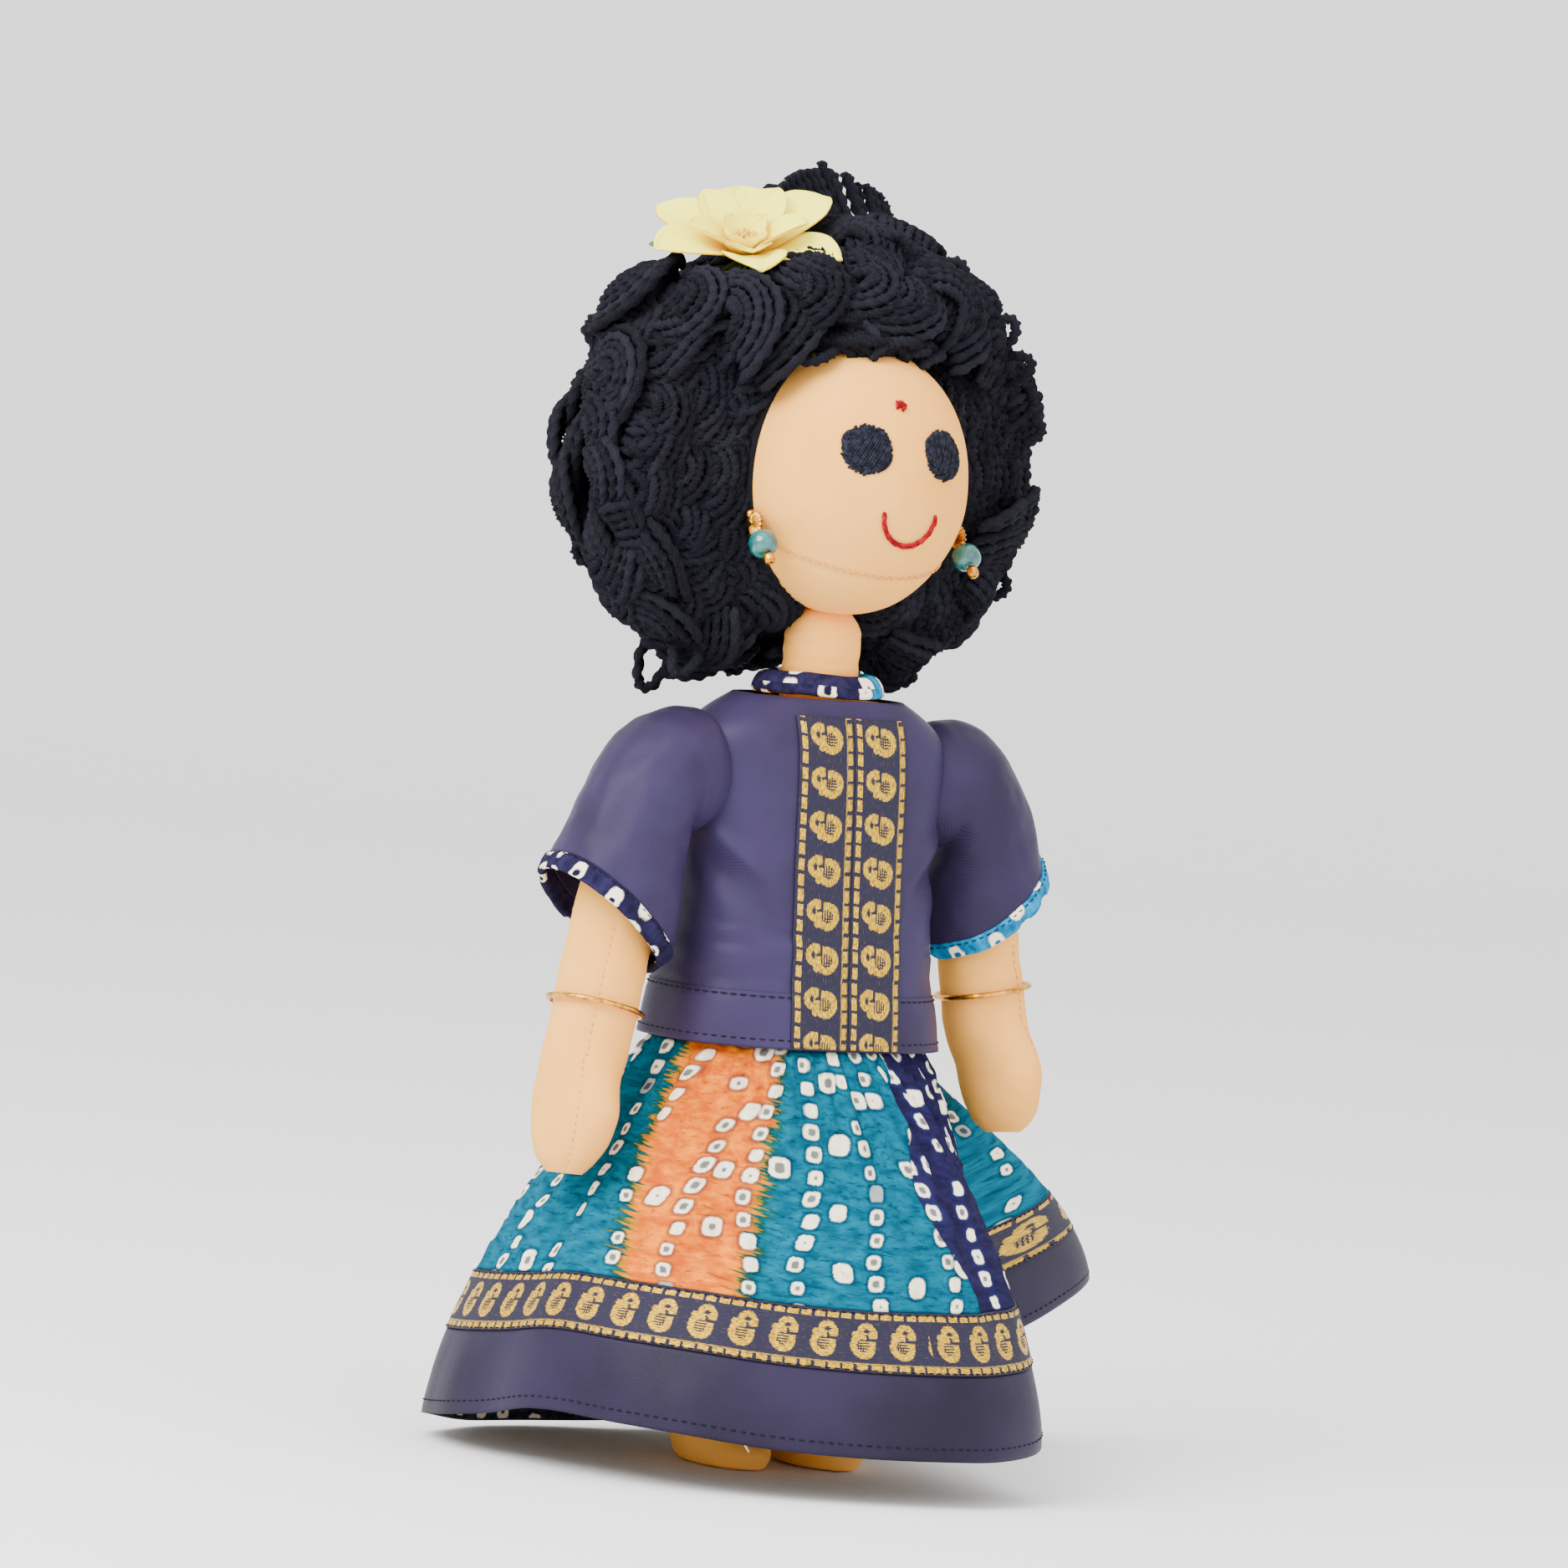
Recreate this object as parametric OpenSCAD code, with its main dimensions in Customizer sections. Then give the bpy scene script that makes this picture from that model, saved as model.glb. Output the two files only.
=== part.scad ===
// Stuffed cotton rag doll in a navy blouse and a gathered tie-dyed skirt.
// The doll stands on flat soles at z = 0 and faces -Y, and its own left side is +X.

/* [Head] */
// Width of the stuffed head
head_w = 72; // [70:0.5:74]
// Height of the stuffed head
head_h = 82; // [80:0.5:84]
// Height of the head's middle above the soles
head_z = 296; // [295:0.5:297]
// How far the head sits forward of the neck
head_forward = 6; // [5:0.5:7]
// Diameter of each embroidered eye
eye_d = 15; // [13:0.5:16]
// Angle from the nose line to each eye
eye_angle = 22; // [20:1:24]
// Radius of the embroidered smile
smile_r = 9; // [7:0.5:10]

/* [Hair] */
// Width of the yarn hair
hair_w = 148; // [144:1:152]
// Depth of the yarn hair, front to back
hair_d = 104; // [100:1:108]
// Height of the crown above the soles
crown_z = 374; // [372:1:376]
// Diameter of the silk flower
flower_d = 58; // [50:1:60]

/* [Body] */
// Radius of the neck
neck_r = 11.5; // [10.5:0.1:12]
// Height of the neck's pivot inside the head
nod_z = 247; // [246.5:0.1:247.5]
// Height of the collar
collar_z = 234; // [233:0.5:235]
// Height of the shoulder pivot
shoulder_z = 206; // [205:0.5:207]
// Distance from the middle to each armhole
armhole_x = 44.6; // [44.4:0.1:45]
// Radius of the forearm
forearm_r = 12.6; // [12:0.1:12.8]
// Height of the hip pivot
hip_z = 84; // [83:0.2:84.4]
// Radius of each leg
leg_r = 13; // [12:0.1:13.4]

/* [Clothes] */
// Height of the blouse's hem
blouse_hem_z = 127; // [126:0.5:128]
// Thickness of the blouse cloth
cloth_t = 1.2; // [1:0.1:1.4]
// Width of one row of woven gold border
border_w = 19; // [18:0.5:20]
// Length of the skirt down its slope
skirt_slope = 124; // [122:1:126]
// Width of the plain band at the skirt's hem
hem_band_w = 27; // [24:1:28]
// Thickness of the skirt cloth
skirt_t = 1.4; // [1.2:0.1:1.6]

/* [Jewellery] */
// Thickness of each bangle's wire
bangle_wire = 1.6; // [1.4:0.1:2]
// Diameter of the turquoise bead
bead_d = 8.8; // [8:0.1:9]

/* [Hidden] */
$fn = 64;

skin_t = 1;           // cotton skin with its seam allowance
seat = 0.05;          // gap between a skin and what fills it
joint_gap = 0.4;      // gap between two pieces that move on each other
peach = "#efb98f";
navy = "#262451";
gold = "#b08d3c";
turquoise = "#1288a0";
yarn_black = "#15151a";
cream = "#f3efb4";

// Interpolation through keys that are evenly spaced round a full turn.
function wrap(keys, i) = keys[(i + len(keys)) % len(keys)];
function spline(p, q, r, s, t) =
  0.5 * (2 * q + (r - p) * t + (2 * p - 5 * q + 4 * r - s) * t * t + (3 * q - p - 3 * r + s) * t * t * t);
function round_turn(keys, a) =
  let (x = (a + 720) % 360 / 360 * len(keys), i = floor(x))
  spline(wrap(keys, i - 1), wrap(keys, i), wrap(keys, i + 1), wrap(keys, i + 2), x - i);

// Interpolation along keys [position, value] that rise in position.
function between(keys, x) =
  let (last = len(keys) - 1, i = max([0, for (k = [0 : last - 1]) if (keys[k][0] <= x) k]),
       t = (x - keys[i][0]) / (keys[i + 1][0] - keys[i][0]),
       p = keys[max(i - 1, 0)][1], s = keys[min(i + 2, last)][1])
  spline(p, keys[i][1], keys[i + 1][1], s, t);

// A closed skin over a list of rings that all have the same number of points.
module loft(rings, loop = false) {
  n = len(rings[0]);
  m = len(rings);
  spans = loop ? m : m - 1;
  sides = [
    for (j = [0 : spans - 1], i = [0 : n - 1], half = [0, 1])
      let (
        next = (i + 1) % n, row = (j + 1) % m * n,
        a = j * n + i, b = j * n + next, c = row + i, d = row + next
      )
      half == 0 ? [a, b, d] : [a, d, c]
  ];
  caps = loop ? [] : [[for (i = [n - 1 : -1 : 0]) i], [for (i = [0 : n - 1]) (m - 1) * n + i]];
  polyhedron(points = [for (r = rings, p = r) p], faces = concat(sides, caps), convexity = 6);
}

function unit(v) = v / norm(v);
// An oval ring about a centre, across a direction; its first half-width lies along X as near as it can.
function ring(centre, along, half_x, half_y, n) =
  let (w = unit(along), u = unit(cross([0, 1, 0], w)), v = cross(w, u))
  [for (i = [0 : n - 1]) centre + u * half_x * cos(i * 360 / n) + v * half_y * sin(i * 360 / n)];
// A level oval, a little squarer than an ellipse.
squareness = 2.5;
function squared(v) = sign(v) * pow(abs(v), 2 / squareness);
function flat_ring(z, half_x, half_y, n) =
  [for (i = [0 : n - 1]) [half_x * squared(cos(i * 360 / n)), half_y * squared(sin(i * 360 / n)), z]];
function oval_depth(x, half_x, half_y) =
  half_y * pow(1 - pow(abs(x) / half_x, squareness), 1 / squareness);

// Everything is drawn about the neck's line, then moved so that the origin is under the middle of the box.
hem_keys_r = [
  100, 100, 97, 80, 73, 72, 74, 148, 118, 86, 72, 68, 66, 70, 78, 90, 101, 98, 94, 98, 98, 97, 98, 99
];
hem_keys_z = [14, 14, 16, 22, 25, 26, 31, 53, 38, 20, 10, 5, 3, 2, 1.5, 2, 6, 9, 13, 18, 18, 17, 15, 14];
columns = 96;
waist_r_x = 44.5;
waist_r_y = 31;
waist_seam_z = blouse_hem_z - 0.6;
flare = 1.55;         // how fast the skirt's slope steepens towards its hem

// Direction a is measured from the doll's front round to its left side.
function hem_r(a) = round_turn(hem_keys_r, a);
function hem_z(a) = round_turn(hem_keys_z, a);
function waist_r(a) = 1 / sqrt(pow(sin(a) / waist_r_x, 2) + pow(cos(a) / waist_r_y, 2));
// Small gathers that fade out below the waist, and soft waves that grow towards the hem.
function ripple(a, s) = 0.7 * sin(30 * a) * sin(180 * min(1, s * 2.2)) + 1.6 * s * s * sin(7 * a + 40);
function skirt_r(a, s) = waist_r(a) + (hem_r(a) - waist_r(a)) * (1 - pow(1 - s, flare)) + ripple(a, s);
function skirt_z(a, s) = waist_seam_z + (hem_z(a) - waist_seam_z) * s;
function skirt_point(a, s, inward) =
  let (r = skirt_r(a, s) - inward) [r * sin(a), -r * cos(a), skirt_z(a, s)];

hem_angles = [for (i = [0 : columns - 1]) i * 360 / columns];
hem_x = [for (a = hem_angles) hem_r(a) * sin(a)];
hem_y = [for (a = hem_angles) -hem_r(a) * cos(a)];
hair_y = 22;
origin_x = (max(hem_x) + min(hem_x)) / 2;
origin_y = (min(hem_y) + hair_y + hair_d / 2) / 2;

module placed() translate([-origin_x, -origin_y, 0]) children();

// ---- Torso ----------------------------------------------------------------------------------

// Half-width and half-depth of the blouse's outside, by height.
bodice_x = [
  [100, 46], [127, 46], [143, 43.8], [165, 41.4], [190, 41], [205, 43.8], [214, 44], [220, 41.5], [226, 34],
  [231, 25], [236, 19]
];
bodice_y = [
  [100, 32], [127, 32], [143, 30], [165, 27.6], [190, 25], [205, 23.6], [214, 22.4], [220, 21], [226, 19],
  [231, 17.6], [236, 16]
];
hips_z = 98;
torso_sides = 32;

function bodice_ring(z, inward, n = torso_sides) =
  flat_ring(z, between(bodice_x, z) - inward, between(bodice_y, z) - inward, n);
// The body narrows below the blouse, where the skirt's waistband goes round it.
torso_in = cloth_t + 0.3;
waist_in = 7;
torso_levels = [134, 144, 156, 170, 184, 196, 206, 214, 220, 225, 229];
function torso_rings(inward) = concat(
  [
    bodice_ring(hips_z + inward, waist_in + inward + 18), bodice_ring(hips_z + 2, waist_in + inward + 7),
    bodice_ring(hips_z + 7, waist_in + inward + 1), bodice_ring(112, waist_in + inward),
    bodice_ring(128, waist_in + inward)
  ],
  [for (z = torso_levels) bodice_ring(z, torso_in + inward)]
);
function reversed(list) = [for (i = [len(list) - 1 : -1 : 0]) list[i]];

module torso_skin() {
  color(peach) placed() loft(concat(torso_rings(0), reversed(torso_rings(skin_t))));
}
module torso_stuffing() {
  color("#f4f1ea") placed() loft(torso_rings(skin_t + seat));
}

neck_base_z = 229.2;
module neck() {
  color(peach) placed() {
    translate([0, 0, neck_base_z]) cylinder(r = neck_r, h = nod_z - neck_base_z);
    translate([0, 0, nod_z]) sphere(r = neck_r);
  }
}

blouse_levels = [127, 135, 143.1, 154, 165, 178, 190, 200, 208, 216, 221, 226, 230];
module bodice() {
  color(navy) placed() loft(concat(
    [for (z = blouse_levels) bodice_ring(z, 0)],
    [for (z = reversed(blouse_levels)) bodice_ring(z, cloth_t)]
  ), loop = true);
}

// The turned-up hem, one more layer of cloth round the blouse's bottom edge.
hem_turn_z = 142.9;
hem_turn_t = 0.5;
module bodice_hem() {
  levels = [blouse_hem_z, blouse_hem_z + 8, hem_turn_z];
  color(navy) placed() loft(concat(
    [for (z = levels) bodice_ring(z, -seat - hem_turn_t)],
    [for (z = reversed(levels)) bodice_ring(z, -seat)]
  ), loop = true);
}

// Two rows of woven gold border down the front, one piece of ribbon thick.
placket_t = 0.8;
placket_steps = 12;
function placket_section(z) =
  let (hx = between(bodice_x, z), hy = between(bodice_y, z), lift = hem_turn_t + 2 * seat)
  concat(
    [for (i = [0 : placket_steps])
      let (x = border_w * (2 * i / placket_steps - 1)) [x, -oval_depth(x, hx, hy) - lift, z]],
    [for (i = [placket_steps : -1 : 0])
      let (x = border_w * (2 * i / placket_steps - 1)) [x, -oval_depth(x, hx, hy) - lift - placket_t, z]]
  );
placket_levels = [127, 136, 145, 155, 165, 178, 190, 200, 208, 216, 221, 225];
module placket() {
  color(gold) placed() loft([for (z = placket_levels) placket_section(z)]);
}

// The bound neckline, a rolled ring that follows the collar's oval.
collar_h = 7;
collar_t = 3.8;
module collar() {
  inner = neck_r + 2.5;
  spread = 3.2;
  color(turquoise) placed() translate([0, 0, collar_z - collar_h / 2]) difference() {
    scale([1, 0.88, 1]) cylinder(r1 = inner + collar_t + spread, r2 = inner + collar_t, h = collar_h);
    translate([0, 0, -1]) scale([1, 0.95, 1]) cylinder(r = inner, h = collar_h + 2);
  }
}

// The hook tape that closes the blouse down the back.
back_tape_w = 12;
module back_tape() {
  levels = [146, 158, 170, 182, 194, 204, 212, 219, 225];
  color(navy) placed() loft([
    for (z = levels)
      let (hx = between(bodice_x, z), hy = between(bodice_y, z), half = back_tape_w / 2)
      concat(
        [for (x = [half, 0, -half]) [x, oval_depth(x, hx, hy) + seat, z]],
        [for (x = [-half, 0, half]) [x, oval_depth(x, hx, hy) + seat + 1, z]]
      )
  ]);
}

// ---- Skirt ----------------------------------------------------------------------------------

waistband_h = 9;
module waistband() {
  levels = [waist_seam_z - waistband_h, waist_seam_z - waistband_h / 2, waist_seam_z - 0.2];
  sides = 48;
  function band_ring(z, inward) =
    [for (k = [0 : sides - 1]) let (a = k * 360 / sides)
      let (r = waist_r(a) - skirt_t - inward) [r * sin(a), -r * cos(a), z]];
  color("#d9d4c8") placed() loft(concat(
    [for (z = levels) band_ring(z, 0.4)],
    [for (z = reversed(levels)) band_ring(z, 1.6)]
  ), loop = true);
}

border_end = 1 - hem_band_w / skirt_slope;
border_start = border_end - border_w / skirt_slope;
panel_steps = 8;
seam_gap = 0.0006;    // share of the slope left open between two bands of cloth

function skirt_section(a, s0, s1, steps, outside, thick) = concat(
  [for (i = [0 : steps]) skirt_point(a, s0 + (s1 - s0) * i / steps, -outside)],
  [for (i = [steps : -1 : 0]) skirt_point(a, s0 + (s1 - s0) * i / steps, thick - outside)]
);
module skirt_part(a0, a1, s0, s1, steps, outside = 0, thick = skirt_t) {
  count = ceil((a1 - a0) * columns / 360);
  loft([for (i = [0 : count]) skirt_section(a0 + (a1 - a0) * i / count, s0, s1, steps, outside, thick)]);
}
module skirt_round(s0, s1, steps, outside = 0, thick = skirt_t) {
  loft([for (a = hem_angles) skirt_section(a, s0, s1, steps, outside, thick)], loop = true);
}

// The navy panel starts at a seam left of the front and runs round to the doll's left side.
panel_from = 20;
panel_to = 78;
module skirt_main() {
  color(turquoise) placed() skirt_part(panel_to, 360 + panel_from, 0, border_start - seam_gap, panel_steps);
}
module skirt_side_panel() {
  edge = 0.05;
  color(navy) placed()
    skirt_part(panel_from + edge, panel_to - edge, 0, border_start - seam_gap, panel_steps);
}
module gold_border() {
  color(gold) placed() skirt_round(border_start, border_end - seam_gap, 3, 0.4, skirt_t + 0.4);
}
module hem_band() {
  color(navy) placed() skirt_round(border_end, 1, 4);
}
// The facing turned up inside the hem, cut from the printed cloth.
module hem_facing() {
  lining_t = 0.6;
  color("#3c4650") placed() skirt_round(border_end, 1, 4, -skirt_t - 4 * seat, lining_t);
}

// ---- Head -----------------------------------------------------------------------------------

module head_blob(grow) {
  translate([0, -head_forward, head_z])
    scale([head_w / 2 + grow, head_w / 2 + grow, head_h / 2 + grow]) sphere(r = 1, $fn = 96);
}
module neck_socket() translate([0, 0, nod_z]) sphere(r = neck_r + joint_gap);

module head_skin() {
  color(peach) placed() difference() {
    head_blob(0);
    head_blob(-skin_t);
    neck_socket();
  }
}
module head_stuffing() {
  color("#f4f1ea") placed() difference() {
    head_blob(-skin_t - seat);
    neck_socket();
  }
}

thread_t = 0.7;       // how far embroidery stands off the skin
face_turn = -3;       // the eyes sit a little to the doll's right
face_reach = 60;
module on_skin(thick = thread_t) intersection() {
  difference() {
    head_blob(thick);
    head_blob(seat);
  }
  children();
}
module from_face(turn, z) translate([0, -head_forward, z]) rotate([90, 0, turn]) children();

eye_z = head_z + 9.5;
module eye(turn) {
  color(yarn_black) placed() on_skin() from_face(turn, eye_z) cylinder(d = eye_d, h = face_reach);
}
module bindi() {
  color("#a01c28") placed() on_skin()
    from_face(2 * face_turn, head_z + 23) cylinder(d = 3.4, h = face_reach);
}
smile_w = 1.6;
module smile() {
  color("#b01e2c") placed() on_skin() from_face(0, head_z - 9) linear_extrude(face_reach)
    difference() {
      circle(r = smile_r + smile_w / 2);
      circle(r = smile_r - smile_w / 2);
      translate([-2 * smile_r, 0]) square([4 * smile_r, 2 * smile_r]);
    }
}
// The jaw seam: a thin line of stitches that rises from the chin to the ears.
module chin_seam() {
  slope = 16;
  stitch_w = 0.9;
  color("#e0a070") placed() on_skin(0.4) difference() {
    translate([0, -head_forward - head_w / 2, head_z - 35]) rotate([slope, 0, 0])
      translate([-head_w, -10, 0]) cube([2 * head_w, 48, stitch_w]);
    translate([-head_w, hairline_y - 2, 0]) cube([2 * head_w, head_w, head_z]);
  }
}

// ---- Hair -----------------------------------------------------------------------------------

cap_t = 1;
hairline_y = -8;
module wig_cap() {
  color(yarn_black) placed() difference() {
    head_blob(cap_t);
    head_blob(seat);
    translate([-head_w, hairline_y - 2 * head_w, head_z - head_h])
      cube([2 * head_w, 2 * head_w, 2 * head_h]);
    neck_clearance();
  }
}
module neck_clearance() translate([0, 0, nod_z]) sphere(r = 27);
// The yarn stands on the head: each piece fills from the cap out to a rounded outer shape.
hair_mid_z = 304;
hair_half = [hair_w / 2, hair_d / 2, crown_z - hair_mid_z];
bob_bulge = 0.1;      // how much fuller the yarn is towards its bottom
function on_oval(mid, half, a, e) =
  mid + [half.x * sin(a) * cos(e), -half.y * cos(a) * cos(e), half.z * sin(e)];
function hair_out(a, e) =
  let (p = on_oval([0, hair_y, hair_mid_z], hair_half * (1 + bob_bulge * max(0, -sin(e)) * cos(e)), a, e),
       near = norm([p.x - flower_at.x, p.y - flower_at.y]))
  p - [0, 0, flower_dent * exp(-pow(near / (flower_d * 0.68), 8)) * max(0, min(1, (e - parting) / 12))];
function hair_in(a, e) =
  on_oval([0, -head_forward, head_z], [1, 1, head_h / head_w] * (head_w / 2 + cap_t + 0.3), a, e);
flower_at = [-25, 24, 354];
flower_dent = 21;

// The side pieces cover the head from ear to ear round the back, up to the crown's parting level.
side_from = 66;       // direction of the front edge of the side yarn
ear_from = 88;        // direction of the hairline on the head
side_low = -66;
parting = 34;
side_columns = 14;
side_steps = 10;
function side_section(a) =
  let (share = (a - side_from) / (180 - side_from), inner = ear_from + (180 - ear_from) * share)
  concat(
    [for (i = [0 : side_steps]) hair_in(inner, -38 + (parting + 20 + 38) * i / side_steps)],
    [for (i = [side_steps : -1 : 0]) hair_out(a, side_low + (parting - side_low) * i / side_steps)]
  );
function flip(points, side) = [for (p = side > 0 ? points : reversed(points)) [side * p.x, p.y, p.z]];
module hair_side(side) {
  color(yarn_black) placed() loft([
    for (k = [0 : side_columns])
      let (a = side_from + (179.9 - side_from) * k / side_columns)
      flip(side_section(a), side)
  ]);
}
// The crown's yarn is a thick cap that comes forward over the forehead.
crown_columns = 48;
crown_levels = [parting + 0.6, 44, 54, 63, 71, 78, 84, 88];
module hair_crown() {
  function level_ring(e, outer) = [
    for (i = [0 : crown_columns - 1])
      let (a = i * 360 / crown_columns) outer ? hair_out(a, e) : hair_in(a, 66 + (e - parting) * 0.4)
  ];
  color(yarn_black) placed() loft(concat(
    [for (e = reversed(crown_levels)) level_ring(e, false)],
    [for (e = crown_levels) level_ring(e, true)]
  ));
}

// ---- Flower ---------------------------------------------------------------------------------

// A pointed oval, as where two circles cross.
module pointed_oval(length, width) {
  r = (length * length / 4 + width * width / 4) / width;
  intersection() {
    translate([length / 2, r - width / 2]) circle(r = r);
    translate([length / 2, width / 2 - r]) circle(r = r);
  }
}
// A row of petals as one flat layer with a pointed outline.
module petal_row(count, length, width, turn, z, thick) {
  translate([0, 0, z]) linear_extrude(thick)
    for (i = [0 : count - 1]) rotate(turn + i * 360 / count) pointed_oval(length, width);
}
outer_z = 3;
outer_t = 4;
inner_t = 7;
flower_top = outer_z + outer_t + inner_t;
module flower_petals() {
  color(cream) placed() translate(flower_at) {
    petal_row(6, flower_d / 2, 19, 0, outer_z, outer_t);
    petal_row(5, flower_d / 2 - 9, 14, 20, outer_z + outer_t - 1, inner_t + 1);
  }
}
module flower_centre() {
  color("#e8c94a") placed()
    translate(flower_at + [0, 0, flower_top + seat]) cylinder(r1 = 3, r2 = 1.6, h = 5);
}
module flower_leaves() {
  color("#3c6b2a") placed() translate(flower_at) petal_row(4, flower_d / 2, 13, 45, 0.8, 2);
}
module flower_pin() {
  color("silver") placed() translate(flower_at + [0, 0, -0.1]) mirror([0, 0, 1]) cylinder(r = 0.6, h = 1.5);
}

// ---- Earrings -------------------------------------------------------------------------------

ear_x = 36.2;
ear_y = -10;
ear_z = 284;
ear_lean = 45;        // each string of beads lies forward along the jaw
disc_d = 7.4;
tip_d = 3.6;
disc_drop = 5;
bead_drop = disc_drop + 7.6;
tip_drop = bead_drop + 5.8;

module on_ear(side) placed() translate([side * ear_x, ear_y, ear_z]) rotate([-ear_lean, 0, 0]) children();
module earring_thread(side) {
  color(gold) on_ear(side) {
    mirror([0, 0, 1]) cylinder(r = 0.35, h = tip_drop - tip_d / 2 - 0.1, $fn = 24);
    sphere(r = 1.3, $fn = 32);
  }
}
module threaded(drop, side) on_ear(side) difference() {
  translate([0, 0, -drop]) children();
  translate([0, 0, -drop - 10]) cylinder(r = 0.4, h = 20, $fn = 24);
}
// A toothed washer, turned to lie in the plane that faces outward.
module earring_disc(side) {
  teeth = 12;
  color(gold) threaded(disc_drop, side) rotate([0, 90, 0]) {
    cylinder(d = disc_d - 1.6, h = 2.2, center = true);
    for (i = [0 : teeth - 1]) rotate([0, 0, i * 360 / teeth])
      translate([disc_d / 4, 0, 0]) cube([disc_d / 2, 0.8, 1.2], center = true);
  }
}
module earring_bead(side) {
  color("#0f8a86") threaded(bead_drop, side) intersection() {
    sphere(d = bead_d);
    cube([20, 20, bead_d * 0.82], center = true);
  }
}
module earring_tip(side) {
  color(gold) on_ear(side) translate([0, 0, -tip_drop]) sphere(d = tip_d, $fn = 40);
}

// ---- Arms -----------------------------------------------------------------------------------

// Stations down an arm, from the shoulder: [out from the armhole, forward or back, up or down],
// half-width across, half-depth front to back, and the way the first few face.
arm_right = [
  [[1.2, 0, 0], 9, 9, [1, 0, 0]], [[4, 0, -0.5], 11.2, 11.2, [1, 0, -0.2]],
  [[9.6, 0, -6], 12.4, 12.4, [1, 0, -0.8]], [[15.2, -1, -23], 13, 13], [[20, -2, -40], 13, 13],
  [[24, -3.5, -55], forearm_r, forearm_r], [[27.5, -5.25, -71], forearm_r, forearm_r],
  [[30.4, -6.8, -84], forearm_r, forearm_r], [[33, -8.5, -93], 11.4, 14], [[35, -10, -101], 10.8, 15.4],
  [[36.2, -11, -109], 10, 14.6], [[36.9, -11.5, -115.5], 8, 11.6], [[37.2, -11.8, -120], 4.6, 6.8]
];
arm_left = [
  [[1.2, 0, 0], 9, 9, [1, 0, 0]], [[4, 0, -0.5], 11.2, 11.2, [1, 0, -0.2]],
  [[9.6, 0, -6], 12.4, 12.4, [1, 0, -0.8]], [[15, 1, -22], 13, 13], [[19, 1.5, -36], 13, 13],
  [[21.5, 1, -49], forearm_r, forearm_r], [[24, 0, -63], forearm_r, forearm_r],
  [[26, -1, -73], forearm_r, forearm_r], [[27.4, -4, -80], 11.4, 14], [[28.2, -7, -87], 10.8, 15],
  [[28.6, -9, -94], 10, 14], [[28.9, -10, -100], 8, 11.2], [[29, -10.5, -104], 4.6, 6.8]
];
arm_sides = 24;
function from_armhole(side, p) = [side * (armhole_x + p.x), p.y, shoulder_z + p.z];
function facing(side, v) = [side * v.x, v.y, v.z];
function station_dir(stations, i, side) = facing(side,
  len(stations[i]) > 3 ? stations[i][3] : stations[min(i + 1, len(stations) - 1)][0] - stations[i - 1][0]);
function arm_rings(stations, side, inward) = [
  for (i = [0 : len(stations) - 1])
    let (s = stations[i], mid = from_armhole(side, s[0]) + [i == 0 ? side * inward : 0, 0, 0])
    ring(mid, station_dir(stations, i, side), s[1] - inward, s[2] - inward, arm_sides)
];
module arm_skin(stations, side) {
  color(peach) placed() loft(concat(
    reversed(arm_rings(stations, side, 0)),
    arm_rings(stations, side, skin_t)
  ));
}
module arm_stuffing(stations, side) {
  color("#f4f1ea") placed() loft(arm_rings(stations, side, skin_t + seat));
}

// A short sleeve: rings that turn from the upright armhole to the slanted cuff.
// Each station: middle, the way it faces, radius.
sleeve_right = [
  [[joint_gap, 0, 0], [1, 0, 0], 19], [[4, 0, -0.5], [1, 0, -0.1], 19.4], [[9, 0, -4], [1, 0, -0.35], 20.2],
  [[13.5, 0, -11.5], [1, 0, -0.7], 20.8], [[17, -0.5, -22], [1, 0, -1], 21.6],
  [[20, -1, -32], [0.95, 0, -1.1], 22.6], [[23, -1.5, -41], [0.85, 0, -1], 23.4]
];
sleeve_left = [
  [[joint_gap, 0, 0], [1, 0, 0], 19], [[4, 0, -0.5], [1, 0, -0.1], 19.4], [[9, 0, -4], [1, 0, -0.35], 20.2],
  [[13.2, 0.5, -11], [1, 0.05, -0.7], 20.6], [[16.2, 1, -19], [1, 0.1, -1], 21],
  [[18.5, 1.5, -27], [0.95, 0.1, -1.1], 21.8], [[20.5, 2, -34], [0.85, 0.1, -1], 22.6]
];
cuff_w = 6;
sleeve_flat = 1.5;    // how much narrower a sleeve is front to back than across
sleeve_sides = 32;
function sleeve_ring(station, side, grow) = ring(
  from_armhole(side, station[0]), facing(side, station[1]),
  station[2] + grow, station[2] - sleeve_flat + grow,
  sleeve_sides
);
module sleeve(stations, side) {
  color(navy) placed() loft(concat(
    [for (s = stations) sleeve_ring(s, side, 0)],
    [for (s = reversed(stations)) sleeve_ring(s, side, -cloth_t)]
  ), loop = true);
}
module cuff(stations, side) {
  last = stations[len(stations) - 1];
  fold_t = 0.5;
  rolled = [
    for (share = [0, 0.5, 1])
      [last[0] + unit(last[1]) * (0.1 + cuff_w * share), last[1], last[2] + 0.3 * sin(180 * share)]
  ];
  color(turquoise) placed() loft(concat(
    [for (s = rolled) sleeve_ring(s, side, fold_t)],
    [for (s = reversed(rolled)) sleeve_ring(s, side, -cloth_t - fold_t)]
  ), loop = true);
}

// Each bangle rides on the straight stretch of its forearm.
bangle_gap = 0.9;
bangle_place = 0.55;
module bangle(stations, side) {
  from = from_armhole(side, stations[5][0]);
  to = from_armhole(side, stations[7][0]);
  dir = unit(to - from);
  at = from + (to - from) * bangle_place;
  color(gold) placed() translate(at)
    rotate([0, acos(dir.z), atan2(dir.y, dir.x)])
      rotate_extrude($fn = 96) translate([forearm_r + bangle_gap + bangle_wire / 2, 0])
        circle(d = bangle_wire, $fn = 24);
}

// ---- Legs -----------------------------------------------------------------------------------

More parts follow.
